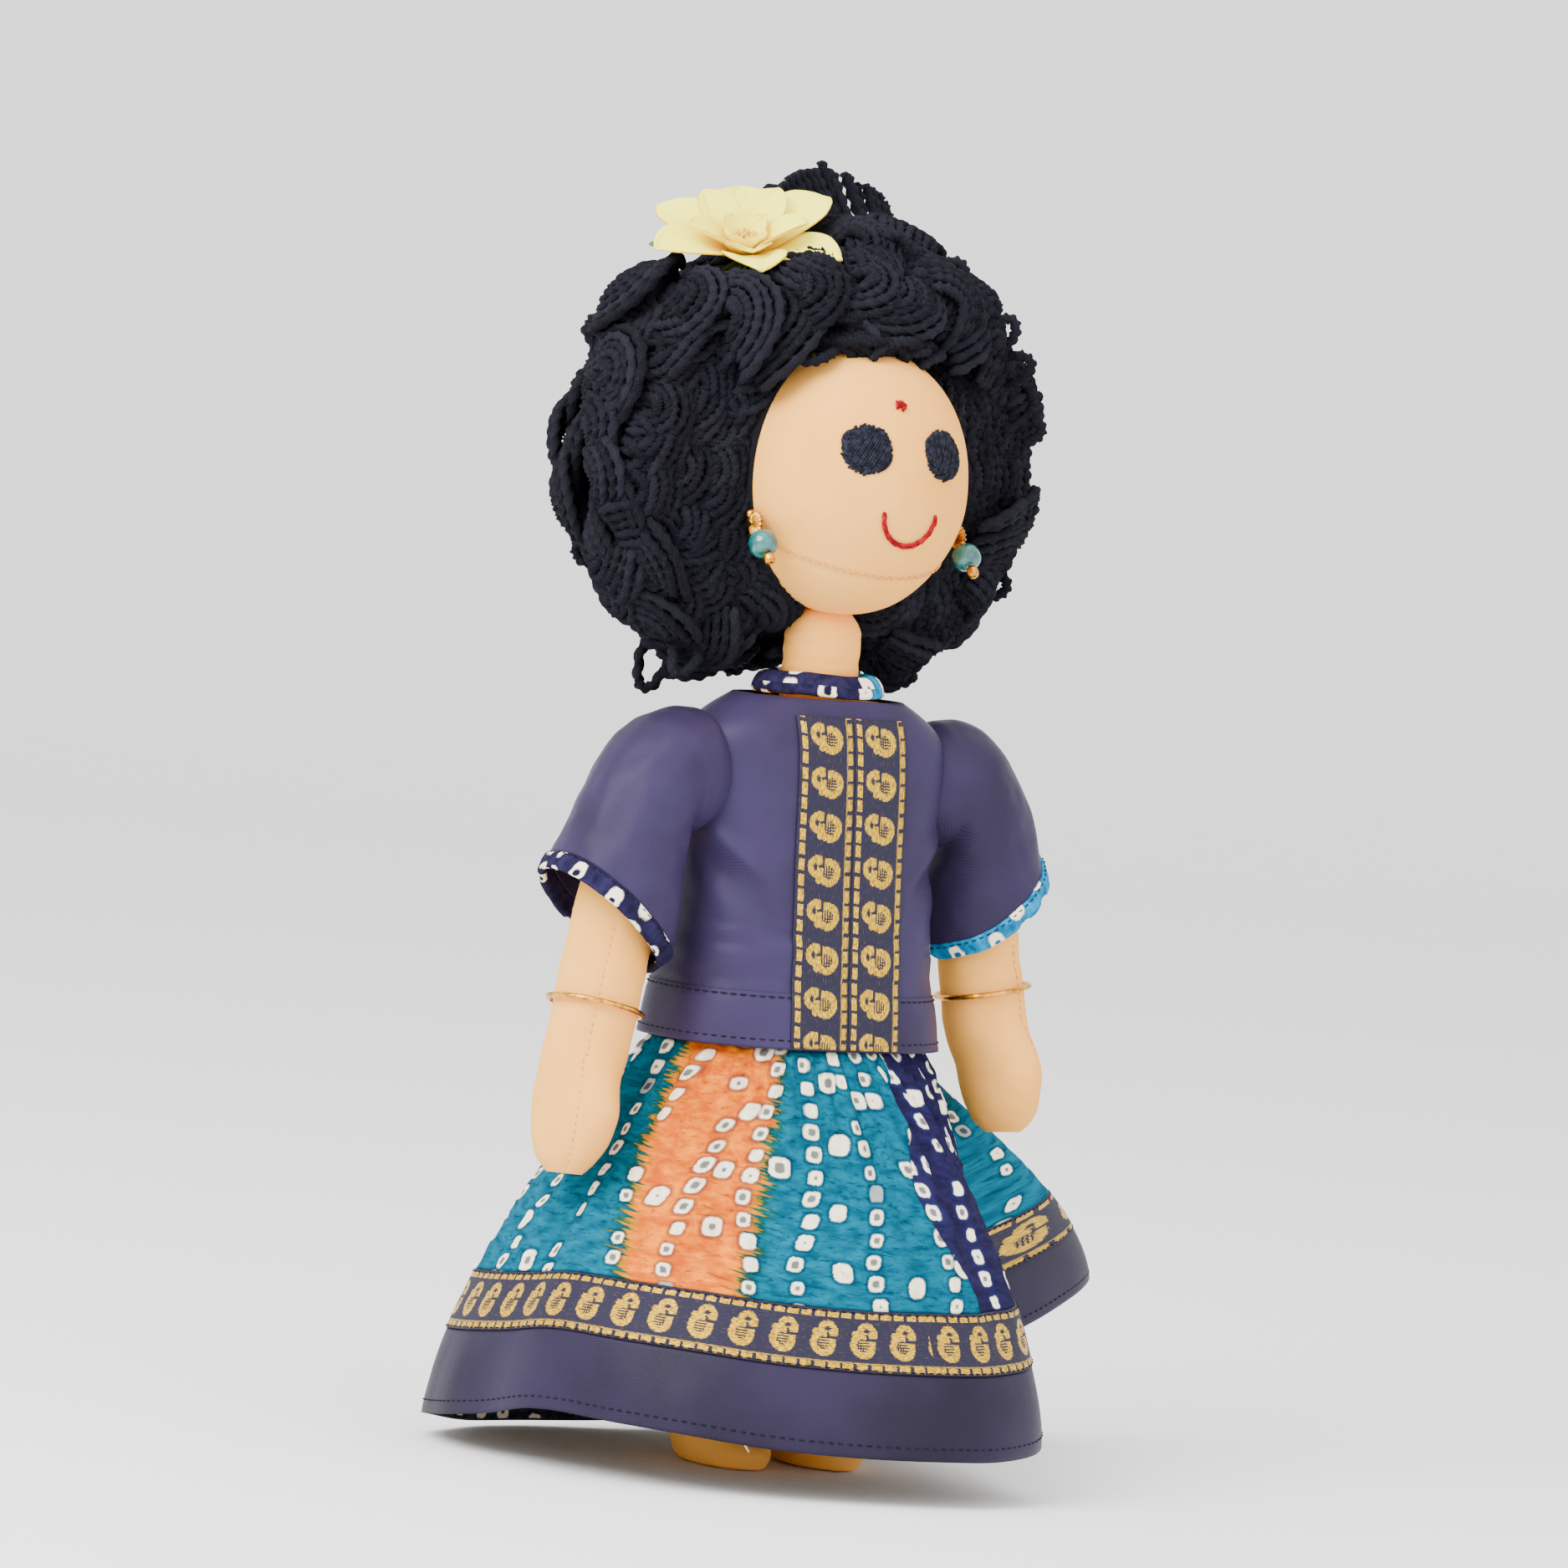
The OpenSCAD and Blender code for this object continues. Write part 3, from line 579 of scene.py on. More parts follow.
def printed_cloth(name, ground, deep, second=None):
    """Narrow binding or lining cut from printed cloth, with tied dots."""
    paint = Paint(name, roughness=0.85, Specular_IOR_Level=0.04)
    u, v = paint.cloth()
    mottle = paint.cloud(paint.vector(u * 0.3, v * 0.4), 1.0, 3)
    colour = paint.blend(mottle.ease(0.3, 0.7), deep, ground)
    if second:
        place, dark, light = second
        other = paint.blend(mottle.ease(0.3, 0.7), dark, light)
        colour = paint.blend((u - place + (mottle - 0.5) * 6).ease(-1, 1), colour, other)
    ring, eye, _, halo = ring_dots(paint, u, v + 2.6, 1.0, 11.0, 6.6, 4.0, 2.5, 0.8)
    colour = paint.blend(halo * 0.5, colour, deep)
    colour = paint.blend(ring, colour, rgb(252, 240, 214))
    colour = paint.blend(eye, colour, deep)
    relief = weave(paint, u, v, 0.75)
    return paint.finish(colour, relief * 0.5 + mottle * 0.4, 0.4, 0.0004)


def gold_border_cloth():
    """A woven ribbon: gold paisleys between two rows of gold dashes on navy."""
    paint = Paint("gold_ribbon", roughness=0.55, Specular_IOR_Level=0.25)
    raw_u, raw_v = paint.cloth()
    thread = 0.42
    v = (raw_v / thread).floor() * thread + thread / 2
    slip = (paint.dice(paint.vector(0.0, (raw_v / thread).floor())) - 0.5) * 0.3
    u = ((raw_u + slip) / thread).floor() * thread
    x = (u / 13).fract() * 13 - 6.5
    y = 9.5 - v

    def far(cx, cy):
        return ((x - cx) * (x - cx) + (y - cy) * (y - cy)).power(0.5)

    body = (1.05 - (far(-0.3, -1.1) - 3.05).abs()).ease(-0.1, 0.1)
    mouth = (x - 0.9).ease(-0.2, 0.2) * (y - 0.2).ease(-0.2, 0.2) * (2.3 - y).ease(-0.2, 0.2)
    neck = (0.95 - (far(1.3, 2.6) - 2.35).abs()).ease(-0.1, 0.1) * (y - 1.2).ease(-0.3, 0.3)
    tip = (1.15 - far(2.9, 2.3)).ease(-0.1, 0.1)
    heart = (1.95 - far(-0.3, -1.1)).ease(-0.1, 0.1)
    lattice = (((x + y) * 3.6).sin() * ((x - y) * 3.6).sin()).ease(0.05, 0.2)
    comma = (body * (1 - mouth)).most(neck).most(tip).most(heart * lattice)
    comma = comma.most((1.05 - far(-2.6, 2.2)).ease(-0.1, 0.1))
    dash = ((u / 4.5).fract() - 0.76).ease(0.01, -0.01)
    rails = (0.85 - (y.abs() - 7.9).abs()).ease(-0.1, 0.1) * dash
    edge = (0.14 - (y.abs() - 6.55).abs()).ease(-0.05, 0.05)
    gold_here = comma.most(rails).most(edge * 0.7)
    shade = paint.cloud(paint.vector(raw_u * 0.7, raw_v * 2.6), 1.0, 3)
    fine = (raw_v * (2 * math.pi / 0.42)).sin() * 0.5 + 0.5
    gold = paint.blend(shade.ease(0.3, 0.7), rgb(136, 90, 10), rgb(250, 206, 40))
    gold = paint.blend(fine * 0.35, gold, rgb(98, 62, 6))
    navy = paint.blend(fine * 0.5, rgb(22, 19, 40), rgb(34, 30, 58))
    scuff = (paint.cloud(paint.vector(raw_u * 0.4, raw_v * 5), 1.0, 2) - 0.62).ease(0, 0.08)
    navy = paint.blend(scuff * 0.4, navy, rgb(130, 100, 60))
    colour = paint.blend(gold_here, navy, gold)
    paint.feed(paint.shader.inputs["Metallic"], gold_here * 0.35)
    return paint.finish(colour, gold_here * 0.8 + fine * 0.3, 0.6, 0.0004, 0.62 - gold_here * 0.24)


def thread(name, dark, light, roughness=0.7, scale=700):
    """Twisted embroidery thread, in strands of slightly different tone."""
    paint = Paint(name, roughness=roughness, Specular_IOR_Level=0.1)
    fine = paint.cloud(paint.place(), scale, 3)
    colour = paint.blend(fine.ease(0.35, 0.7), dark, light)
    return paint.finish(colour, fine, 0.5, 0.0003)


def yarn():
    """Soft black acrylic yarn with a bloom of loose fibres."""
    paint = Paint("black_yarn", roughness=0.9, Sheen_Weight=0.02, Sheen_Roughness=0.6,
                  Specular_IOR_Level=0.08)
    paint.shader.inputs["Sheen Tint"].default_value = rgb(150, 150, 190)
    tone = paint.stored("tone")
    fine = paint.cloud(paint.place(), 1500, 2, 0.7)
    patch = paint.cloud(paint.place(), 60, 2)
    colour = paint.blend(tone, rgb(13, 13, 17), rgb(27, 27, 34))
    colour = paint.blend(fine.ease(0.5, 0.8) * 0.5, colour, rgb(50, 50, 60))
    colour = paint.blend(patch.ease(0.45, 0.7) * 0.3, colour, rgb(16, 16, 28))
    return paint.finish(colour, fine, 0.7, 0.0005)


def petal_silk():
    paint = Paint("petal_silk", roughness=0.7, Specular_IOR_Level=0.1, Subsurface_Weight=0.15)
    paint.shader.inputs["Subsurface Radius"].default_value = (0.002, 0.002, 0.001)
    along, across = paint.cloth()
    veins = ((across * 26 + along * 2).sin() * 0.5 + 0.5) * along
    soft = paint.cloud(paint.vector(along * 3, across * 3), 1.0, 3)
    colour = paint.blend(along.ease(0.05, 0.62), rgb(246, 190, 14), rgb(255, 246, 84))
    colour = paint.blend(soft.ease(0.45, 0.8) * 0.4, colour, rgb(255, 252, 150))
    colour = paint.blend(veins * 0.12, colour, rgb(226, 200, 60))
    return paint.finish(colour, veins * 0.5 + soft * 0.5, 0.25, 0.0006)


def leaf_silk():
    paint = Paint("leaf_silk", roughness=0.5, Sheen_Weight=0.1)
    along, across = paint.cloth()
    veins = ((across.abs() * 14 - along * 22).sin() * 0.5 + 0.5).ease(0.7, 0.95)
    soft = paint.cloud(paint.place(), 240, 3)
    colour = paint.blend(soft.ease(0.3, 0.7), rgb(26, 60, 14), rgb(64, 100, 24))
    colour = paint.blend(veins * 0.4, colour, rgb(126, 150, 70))
    return paint.finish(colour, veins, 0.3, 0.0004)


def metal(name, dark, light, roughness):
    paint = Paint(name, roughness=roughness, Metallic=1.0)
    wear = paint.cloud(paint.place(), 420, 3)
    colour = paint.blend(wear.ease(0.3, 0.7), dark, light)
    return paint.finish(colour, wear, 0.1, 0.0002, wear * 0.2 + (roughness - 0.08))


def bead_glaze():
    paint = Paint("turquoise_bead", roughness=0.22, Coat_Weight=0.6, Coat_Roughness=0.12)
    swirl = paint.cloud(paint.place(), 260, 4, 0.6)
    colour = paint.blend(swirl.ease(0.35, 0.7), rgb(6, 76, 76), rgb(34, 122, 116))
    return paint.finish(colour, swirl, 0.15, 0.0003)


def plain_cloth(name, dark, light, pitch):
    """Undyed or plain woven cloth."""
    paint = Paint(name, roughness=0.9, Sheen_Weight=0.02, Specular_IOR_Level=0.1)
    x, y, z = paint.height()
    relief = weave(paint, (x - y) * 1000, z * 1000, pitch)
    colour = paint.blend(relief, dark, light)
    return paint.finish(colour, relief, 0.4, 0.0004)


def floor_paper():
    paint = Paint("floor_paper", roughness=0.95, Specular_IOR_Level=0.1)
    grain = paint.cloud(paint.place(), 60, 3)
    return paint.finish(paint.blend(grain, rgb(238, 238, 238), rgb(241, 241, 241)))


skin_look = cotton_skin()
navy_look = satin("navy_satin", rgb(35, 28, 48), rgb(50, 42, 72))
# The hem band's navy satin is the blouse's satin drawn darker: painted shade on the band.
shaded_hem_satin_look = satin("navy_satin_painted_shade_hem", rgb(21, 17, 28), rgb(36, 30, 50))
gold_cloth_look = gold_border_cloth()
turquoise_look = tie_dye("tie_dyed_turquoise", rgb(0, 104, 128), rgb(0, 72, 94), rgb(0, 36, 56), True)
panel_look = tie_dye("tie_dyed_navy", rgb(34, 30, 64), rgb(22, 18, 46), rgb(30, 34, 82), False)
lining_look = printed_cloth("printed_lining", rgb(58, 66, 74), rgb(22, 24, 30))
NAVY_PRINT = (rgb(40, 36, 68), rgb(24, 20, 44))
TURQUOISE_PRINT = (rgb(8, 146, 196), rgb(0, 92, 132))
collar_look = printed_cloth("printed_collar", *NAVY_PRINT, (8.0, TURQUOISE_PRINT[1], TURQUOISE_PRINT[0]))
cuff_looks = {"right": printed_cloth("printed_cuff_navy", *NAVY_PRINT),
              "left": printed_cloth("printed_cuff_turquoise", *TURQUOISE_PRINT)}
eye_look = thread("black_thread", rgb(17, 18, 27), rgb(40, 42, 54))
red_look = thread("red_thread", rgb(120, 2, 16), rgb(176, 8, 34))
skin_thread_look = thread("skin_thread", rgb(206, 124, 58), rgb(240, 174, 104))
navy_thread_look = thread("navy_thread", rgb(12, 10, 24), rgb(28, 24, 48))
hair_look = yarn()
wig_look = plain_cloth("wig_cloth", rgb(9, 9, 12), rgb(18, 18, 22), 0.9)
petal_look = petal_silk()
stamen_look = thread("stamen", rgb(214, 160, 30), rgb(250, 214, 90), 0.8, 900)
leaf_look = leaf_silk()
steel_look = metal("pin_steel", rgb(150, 150, 156), rgb(205, 205, 212), 0.25)
gold_look = metal("gold_metal", rgb(176, 110, 20), rgb(236, 178, 66), 0.26)
bead_look = bead_glaze()
tape_look = plain_cloth("hook_tape", rgb(24, 20, 42), rgb(44, 38, 70), 0.7)
elastic_look = plain_cloth("elastic", rgb(190, 184, 172), rgb(226, 222, 212), 1.1)


# ---- Skirt ----------------------------------------------------------------------------------

def cad_points(node):
    """The vertices of a CAD node, in millimetres about the neck's line."""
    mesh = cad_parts[node].data
    p = np.empty(len(mesh.vertices) * 3)
    mesh.vertices.foreach_get("co", p)
    return (p.reshape(-1, 3) - AXIS) / MM


WAVE_DEPTH, WAVES, WAVE_START = 1.6, 7, 40      # the soft waves that the CAD's hem already has


def hem_profile():
    """Radius and height of the CAD hem band's lowest outside edge, for evenly spaced directions."""
    p = cad_points("hem_band")
    a = np.degrees(np.arctan2(p[:, 0], -p[:, 1])) % 360
    r = np.hypot(p[:, 0], p[:, 1])
    columns = 96
    radius, height = np.zeros(columns), np.zeros(columns)
    for k in range(columns):
        near = np.abs(half_turn_either_way(a - k * 360 / columns)) < 0.3
        lowest = p[near, 2].min()
        at = near & (p[:, 2] < lowest + 0.6)
        radius[k], height[k] = r[at].max(), lowest
    return radius - WAVE_DEPTH * sind(WAVES * np.arange(columns) * 360 / columns + WAVE_START), height


def round_turn(keys, a):
    """Smooth interpolation through keys spaced evenly round a full turn."""
    n = len(keys)
    x = np.asarray(a, float) % 360 / 360 * n
    i = np.floor(x).astype(int)
    t = x - i
    return between_keys(*(keys[(i + k) % n] for k in (-1, 0, 1, 2)), t)


hem_r, hem_z = hem_profile()


def waist_r(a):
    """Distance of the skirt's top edge from the neck's line."""
    return 1 / np.sqrt((sind(a) / WAIST_RX) ** 2 + (cosd(a) / WAIST_RY) ** 2)


def pleats(a, s):
    """Gathers at the waist that run down into a few long soft folds."""
    fine = 0.9 * sind(46 * a + 40 * noise(np.stack([cosd(a) * 3, sind(a) * 3, a * 0], -1), 3))
    total = fine * (1 - ease(s, 0.08, 0.42)) * ease(s, 0, 0.03)
    dice = np.random.default_rng(21)
    for k in range(34):
        middle = 360 * (k + dice.uniform(-0.35, 0.35)) / 34 + 4 * (s - 0.4) * dice.uniform(-1, 1)
        width = dice.uniform(2.2, 4.4) * (1 - 0.25 * s)
        depth = dice.uniform(-1.9, 1.6) * (1 + 0.5 * (k % 5 == 0))
        reach = dice.uniform(0.3, 0.85)
        off = half_turn_either_way(a - middle)
        fade = 1 - ease(s, reach - 0.25, reach + 0.12)
        total = total + depth * hump(off, 0, width) * ease(s, 0.01, 0.12) * fade
    return total


def skirt_radius(a, s):
    """Distance of the skirt's outside from the neck's line, before its crinkles."""
    gathers = 0.7 * sind(30 * a) * sind(180 * np.minimum(1, s * 2.2))
    ripple = gathers + WAVE_DEPTH * s ** 2 * sind(WAVES * a + WAVE_START)
    base = waist_r(a) + (round_turn(hem_r, a) - waist_r(a)) * (1 - (1 - s) ** FLARE)
    return base + ripple + pleats(a, s)


def crumple(p, s):
    """Crinkles left in the cloth by the dyeing, quieter in the bands below it."""
    near = 1 - ease(s, BORDER_START - 0.02, BORDER_START + 0.01)
    return (0.55 * noise(p * [0.16, 0.16, 0.30], 5) + 0.28 * noise(p * [0.4, 0.4, 0.62], 6)) * near \
        + 0.5 * noise(p * 0.055, 8) * (1 - near)


def skirt_cloth(a, s, lift=0.0, thick=SKIRT_T):
    """Outer and inner points of the skirt's cloth over grids of directions a and shares s of the slope."""
    z = WAIST_Z + (round_turn(hem_z, a) - WAIST_Z) * s
    r = skirt_radius(a, s)
    r = r + crumple(about_neck(r, a, z), s) + lift
    return about_neck(r, a, z), about_neck(r - thick, a, z)


def spread_of(outer, a):
    """Real width of each millimetre of cloth, since the waist is gathered and the hem is not."""
    step = np.linalg.norm(np.gradient(outer, axis=1), axis=-1)
    real = step / (np.abs(np.gradient(a, axis=1)) * FABRIC_PER_DEGREE)
    return np.clip(real, 0.25, 1.4)


def finished_cloth(name, outer, inner, wrap, uv, spread, look, slot):
    """A piece of the skirt, with the spread of its cloth stored for the dyed pattern."""
    points, faces, corner_uv = shell(outer, inner, wrap, uv)
    spread = np.concatenate([spread, spread[::-1]])
    return build(name, points, faces, look, "torso", slot, corner_uv, {"spread": spread})


def round_piece(name, s, look, slot, lift=0.0, thick=SKIRT_T):
    """A band that goes all the way round the skirt over the shares s of its slope."""
    a = np.arange(ROUND_COLUMNS) * 360 / ROUND_COLUMNS
    outer, inner = skirt_cloth(*np.meshgrid(a, s), lift, thick)
    u = np.concatenate([a, [a[0] + 360]])
    uv = np.stack(np.meshgrid(u * FABRIC_PER_DEGREE, s * SKIRT_SLOPE), -1)
    uv[..., 1] -= s[0] * SKIRT_SLOPE
    closed = np.concatenate([outer, outer[:, :1]], 1)
    spread = spread_of(closed, np.stack([u] * len(s)))[:, :-1]
    return finished_cloth(name, outer, inner, True, uv, spread, look, slot)


def cloth_line(a, s, lift):
    """Points along the skirt's outside, and the way out from the doll there."""
    outer = skirt_cloth(*np.meshgrid(a, np.array([s - 0.004, s, s + 0.004])), lift)[0]
    out = normals_of(outer, False)[1]
    return outer[1], out * np.sign(np.sum(out * unit(outer[1] * [1, 1, 0]), -1, keepdims=True))


PANEL_FROM, PANEL_TO = 20, 78      # the navy panel's two seams, in degrees
SEAM_GAP = 0.0006                  # share of the slope left open between two bands of cloth
ROUND_COLUMNS = 540


def seam_lean(a, s):
    """The navy panel's front seam curves: further round at the waist, nearest the front half way down."""
    lean = 4 - 16 * ease(s / BORDER_START, 0, 0.55) + 7 * ease(s / BORDER_START, 0.5, 1)
    return a + lean * hump(a, PANEL_FROM, 26)


def leaning_piece(name, a_from, a_to, columns, look):
    """A dyed panel between two seams, from the waist down to the gold border."""
    a, s = np.meshgrid(np.linspace(a_from, a_to, columns), np.linspace(0, BORDER_START - SEAM_GAP, 76))
    a = seam_lean(half_turn_either_way(a), s) + (a - half_turn_either_way(a))
    outer, inner = skirt_cloth(a, s)
    uv = np.stack([a * FABRIC_PER_DEGREE, s * SKIRT_SLOPE], -1)
    return finished_cloth(name, outer, inner, False, uv, spread_of(outer, a), look, "tie_dyed_cotton")


def make_skirt():
    """The gathered skirt: two dyed panels, gold border, hem band, facing and the rows of stitches."""
    gap, proud = 0.05, 0.4
    main = leaning_piece("skirt_cloth", PANEL_TO + gap, 360 + PANEL_FROM - gap, 460, turquoise_look)
    panel = leaning_piece("skirt_navy_panel", PANEL_FROM + gap, PANEL_TO - gap, 96, panel_look)
    border = round_piece("skirt_gold_border", np.linspace(BORDER_START, BORDER_END - SEAM_GAP, 14),
                         gold_cloth_look, "gold_ribbon", proud, SKIRT_T + proud)
    # The hem band takes the darker copy of the navy satin: painted shade.
    band = round_piece("skirt_hem_band", np.linspace(BORDER_END, 1, 20), shaded_hem_satin_look, "navy_satin")
    facing = round_piece("skirt_hem_facing", np.linspace(BORDER_END + 0.01, 0.994, 14), lining_look,
                         "printed_lining", -SKIRT_T - 0.05, 0.6)
    parts = []
    for s, lift in ((0.966, 0), (BORDER_START + 0.006, proud), (BORDER_END - 0.006, proud)):
        line, out = cloth_line(np.linspace(0, 360, 721), s, lift)
        parts.append(stitches(line, out, 2.0, 0.9, 0.22, 0.0))
    points, faces = joined(parts)
    sewing = build("skirt_stitching", points, faces, navy_thread_look, "torso", "navy_satin")
    for piece, node in ((main, "skirt_main"), (panel, "skirt_side_panel"), (border, "gold_border"),
                        (band, "hem_band"), (facing, "hem_facing")):
        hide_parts(node)
    loose_thread()


def loose_thread():
    """The white end of sewing thread left hanging inside the hem."""
    start = cloth_line(np.array([-36.0, -35.5]), 0.985, -2.4)[0]
    path = start[0] + spline([[0, 0, 0], [1, 0.5, -1], [2.5, 0, -1.6], [4, 1, -2.6], [5.2, 0.6, -4.4]], 16)
    path[:, 2] = np.maximum(path[:, 2], 0.4)
    points, faces = tubes([path], 0.28, 6)
    build("skirt_thread_end", points, faces, elastic_look, "torso", "printed_lining")


# ---- Torso ----------------------------------------------------------------------------------

def profile_of(node):
    """Half-widths of a CAD node by height, read from its rings."""
    p = cad_points(node)
    levels = sorted(set(np.round(p[:, 2], 1)))
    rows = [(z, *np.abs(p[np.abs(p[:, 2] - z) < 0.06][:, :2]).max(0)) for z in levels]
    return np.array(rows)


bodice_keys = profile_of("bodice")
OVAL = 2.5      # how square the body's level sections are; 2 is an ellipse


def bodice_half(z):
    """Half-width and half-depth of the blouse at height z, smoothed between the CAD's levels."""
    fine = spline(bodice_keys, 400)
    return np.interp(z, fine[:, 0], fine[:, 1]), np.interp(z, fine[:, 0], fine[:, 2])


def oval_depth(x, half_x, half_y):
    """How far an oval's edge lies in front of its middle, at x."""
    return half_y * np.maximum(0, 1 - (np.abs(x) / half_x) ** OVAL) ** (1 / OVAL)


def bodice_fold(p):
    """Folds in the blouse: drag lines from each armhole, creases at the waist and general softness."""
    x, y, z = p[..., 0], p[..., 1], p[..., 2]
    front = ease(-y, 2, 12)
    clear = ease(np.abs(x), 19, 25)
    lift = 0
    for side, tilt, low in ((-1, 0.95, 170), (1, 0.75, 176)):
        across = side * x - 20
        for k, (gap, depth) in enumerate(((0, 1.5), (-9, -1.1), (-19, 0.8))):
            line = low + gap + across * tilt
            lift = lift + depth * hump(z, line, 3.2 + k) * ease(across, -2, 12) * front
    waist = hump(z, 147, 3.2) * (0.9 * noise(p * [0.07, 0.07, 0.2], 12) - 0.3)
    waist = waist + hump(z, 158, 6) * 0.9 * noise(p * [0.05, 0.05, 0.3], 13)
    shoulder = -0.8 * hump(z, 207, 14) * hump(np.abs(x), 41, 3.5)
    return (lift * clear + waist + shoulder) + 0.55 * noise(p * 0.06, 14)


def bodice_surface(z, angle, lift=0.0):
    """Points on the blouse's outside at heights z (rows) and ring angles (columns)."""
    z, angle = np.meshgrid(z, angle, indexing="ij")
    hx, hy = bodice_half(z)
    c, s = np.cos(angle), np.sin(angle)
    x, y = hx * signed_power(c, 2 / OVAL), hy * signed_power(s, 2 / OVAL)
    p = np.stack([x, y, z], -1)
    out = unit(np.stack([x / hx ** 2, y / hy ** 2, x * 0], -1))
    return p + out * (bodice_fold(p) + lift)[..., None]


def make_blouse():
    """The blouse's body, its turned-up hem and the two rows of stitches round it."""
    turn = whole_turn(220)
    z = np.linspace(HEM_Z, 230, 96)
    outer, inner = bodice_surface(z, turn), bodice_surface(z, turn, -CLOTH_T)
    points, faces, _ = shell(outer[::-1], inner[::-1], True)
    blouse = build("blouse_body", points, faces, navy_look, "torso", "navy_satin")
    hem_top = 143
    z = np.linspace(HEM_Z - 0.4, hem_top, 18)
    swell = (0.55 + 0.25 * hump(z, HEM_Z, 1.6) - 0.35 * hump(z, hem_top - 1.2, 0.9))[:, None] * np.ones(220)
    outer, inner = bodice_surface(z, turn, swell), bodice_surface(z, turn, 0.05)
    points, faces, _ = shell(outer[::-1], inner[::-1], True)
    turned = build("blouse_turned_hem", points, faces, navy_look, "torso", "navy_satin")
    parts = []
    closed = np.linspace(0, 2 * np.pi, 400)
    for height in (hem_top - 1.2, HEM_Z + 2.2):
        line = bodice_surface(np.array([height]), closed, 0.5 if height > 140 else 0.65)[0]
        parts.append(stitches(line, unit(line * [1, 1, 0]), 2.1, 0.8, 0.2, -0.05))
    points, faces = joined(parts)
    sewing = build("blouse_stitching", points, faces, navy_thread_look, "torso", "navy_satin")
    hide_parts("bodice")
    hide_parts("bodice_hem")


def make_placket():
    """Two rows of woven ribbon side by side down the front."""
    lift, thick = 0.75, 0.6
    z = np.linspace(HEM_Z + 0.2, 225, 110)
    for name, x0, x1 in (("placket_right", -BORDER_W, -0.1), ("placket_left", 0.1, BORDER_W)):
        x = np.linspace(x0, x1, 26)
        xx, zz = np.meshgrid(x, z)
        hx, hy = bodice_half(zz)
        y = -oval_depth(xx, hx, hy)
        p = np.stack([xx, y, zz], -1)
        share = (xx - x0) / (x1 - x0)
        edge = 0.35 * (hump(share, 0.02, 0.05) + hump(share, 0.98, 0.05))
        y = y - lift - bodice_fold(p) * 0.6 + edge
        outer = np.stack([xx, y - thick, zz], -1)
        inner = np.stack([xx, y, zz], -1)
        uv = np.stack([zz - HEM_Z + 6, share * BORDER_W], -1)
        points, faces, corner_uv = shell(outer, inner, False, uv)
        faces = [f[:, ::-1] for f in faces]
        corner_uv = [c[:, ::-1] for c in corner_uv]
        strip = build(name, points, faces, gold_cloth_look, "torso", "gold_ribbon", corner_uv)
        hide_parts("placket")


def make_collar():
    """A rolled binding round the neckline."""
    deep = 0.9      # depth of the neckline for each unit of its width
    turn, roll = whole_turn(160), whole_turn(24)
    tt, rr = np.meshgrid(turn, roll)
    p = np.stack([np.cos(tt), np.sin(tt) * deep, tt * 0], -1)
    wave = 0.35 * noise(p * 5, 31)
    height = 3.4 * signed_power(np.sin(rr), 0.9)
    radius = 17.6 + 2.5 * signed_power(np.cos(rr), 0.9) - height * 0.42 + wave
    z = COLLAR_Z + height + 0.3 * noise(p * 3, 32)
    points = np.stack([radius * np.cos(tt), radius * np.sin(tt) * deep, z], -1)
    faces, corners = grid(24, 160, True, True)
    direction = np.degrees(np.concatenate([turn, [2 * np.pi]])) + 90
    direction = np.where(direction > 180, direction - 360, direction)
    arc = np.radians(direction) * 19
    uv = np.stack(np.meshgrid(arc, np.linspace(0, 14, 25)), -1)
    corner_uv = [uv[corners[..., 0], corners[..., 1]]]
    binding = build("collar_binding", points, [faces[:, ::-1]], collar_look, "torso", "printed_binding",
                    [corner_uv[0][:, ::-1]])
    seam_r = 19.9
    line = np.stack([seam_r * np.cos(turn), seam_r * deep * np.sin(turn), turn * 0 + COLLAR_Z - 2.4], -1)
    points, faces = stitches(line, unit(line * [1, 1, 0]), 1.9, 0.8, 0.18)
    build("collar_stitching", points, faces, navy_thread_look, "torso", "printed_binding")
    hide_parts("collar")


def make_back_tape():
    """The hook tape that closes the blouse down the back, with its row of hooks."""
    half, low, high = 6, 146, 225
    z = np.linspace(low, high, 60)
    x = np.linspace(half, -half, 16)
    xx, zz = np.meshgrid(x, z)
    hx, hy = bodice_half(zz)
    p = np.stack([xx, oval_depth(xx, hx, hy), zz], -1)
    y = p[..., 1] + bodice_fold(p) * 0.6
    outer = np.stack([xx, y + 1.1 - 0.4 * (np.abs(xx) > half - 0.9), zz], -1)
    inner = np.stack([xx, y + 0.1, zz], -1)
    points, faces, _ = shell(outer, inner, False)
    tape = build("back_tape_strip", points, [f[:, ::-1] for f in faces], tape_look, "torso", "hook_tape")
    hooks = []
    for level in np.arange(low + 8, high - 4, 15.0):
        hx, hy = bodice_half(level)
        loop = spline([[2.4, 0, 0], [0, 0.7, 1.3], [-2.2, 0.6, 0], [0, 0.7, -1.3], [2.4, 0, 0]], 18)
        hooks.append(loop + [0, float(oval_depth(0.0, hx, hy)) + 1.35, level])
    points, faces = tubes(hooks, 0.32, 8)
    build("back_hooks", points, faces, steel_look, "torso", "pin_steel")
    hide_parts("back_tape")


def make_waistband():
    """Gathered elastic inside the skirt's top."""
    a = np.arange(240) * 1.5
    z = np.linspace(WAIST_Z - 9, WAIST_Z - 0.3, 12)
    aa, zz = np.meshgrid(a, z)
    r = waist_r(aa) - SKIRT_T - 1.6 + 0.3 * sind(60 * aa)
    thick = 1.0
    points, faces, _ = shell(about_neck(r, aa, zz)[::-1], about_neck(r - thick, aa, zz)[::-1], True)
    band = build("waist_elastic", points, faces, elastic_look, "torso", "elastic")
    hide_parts("waistband")


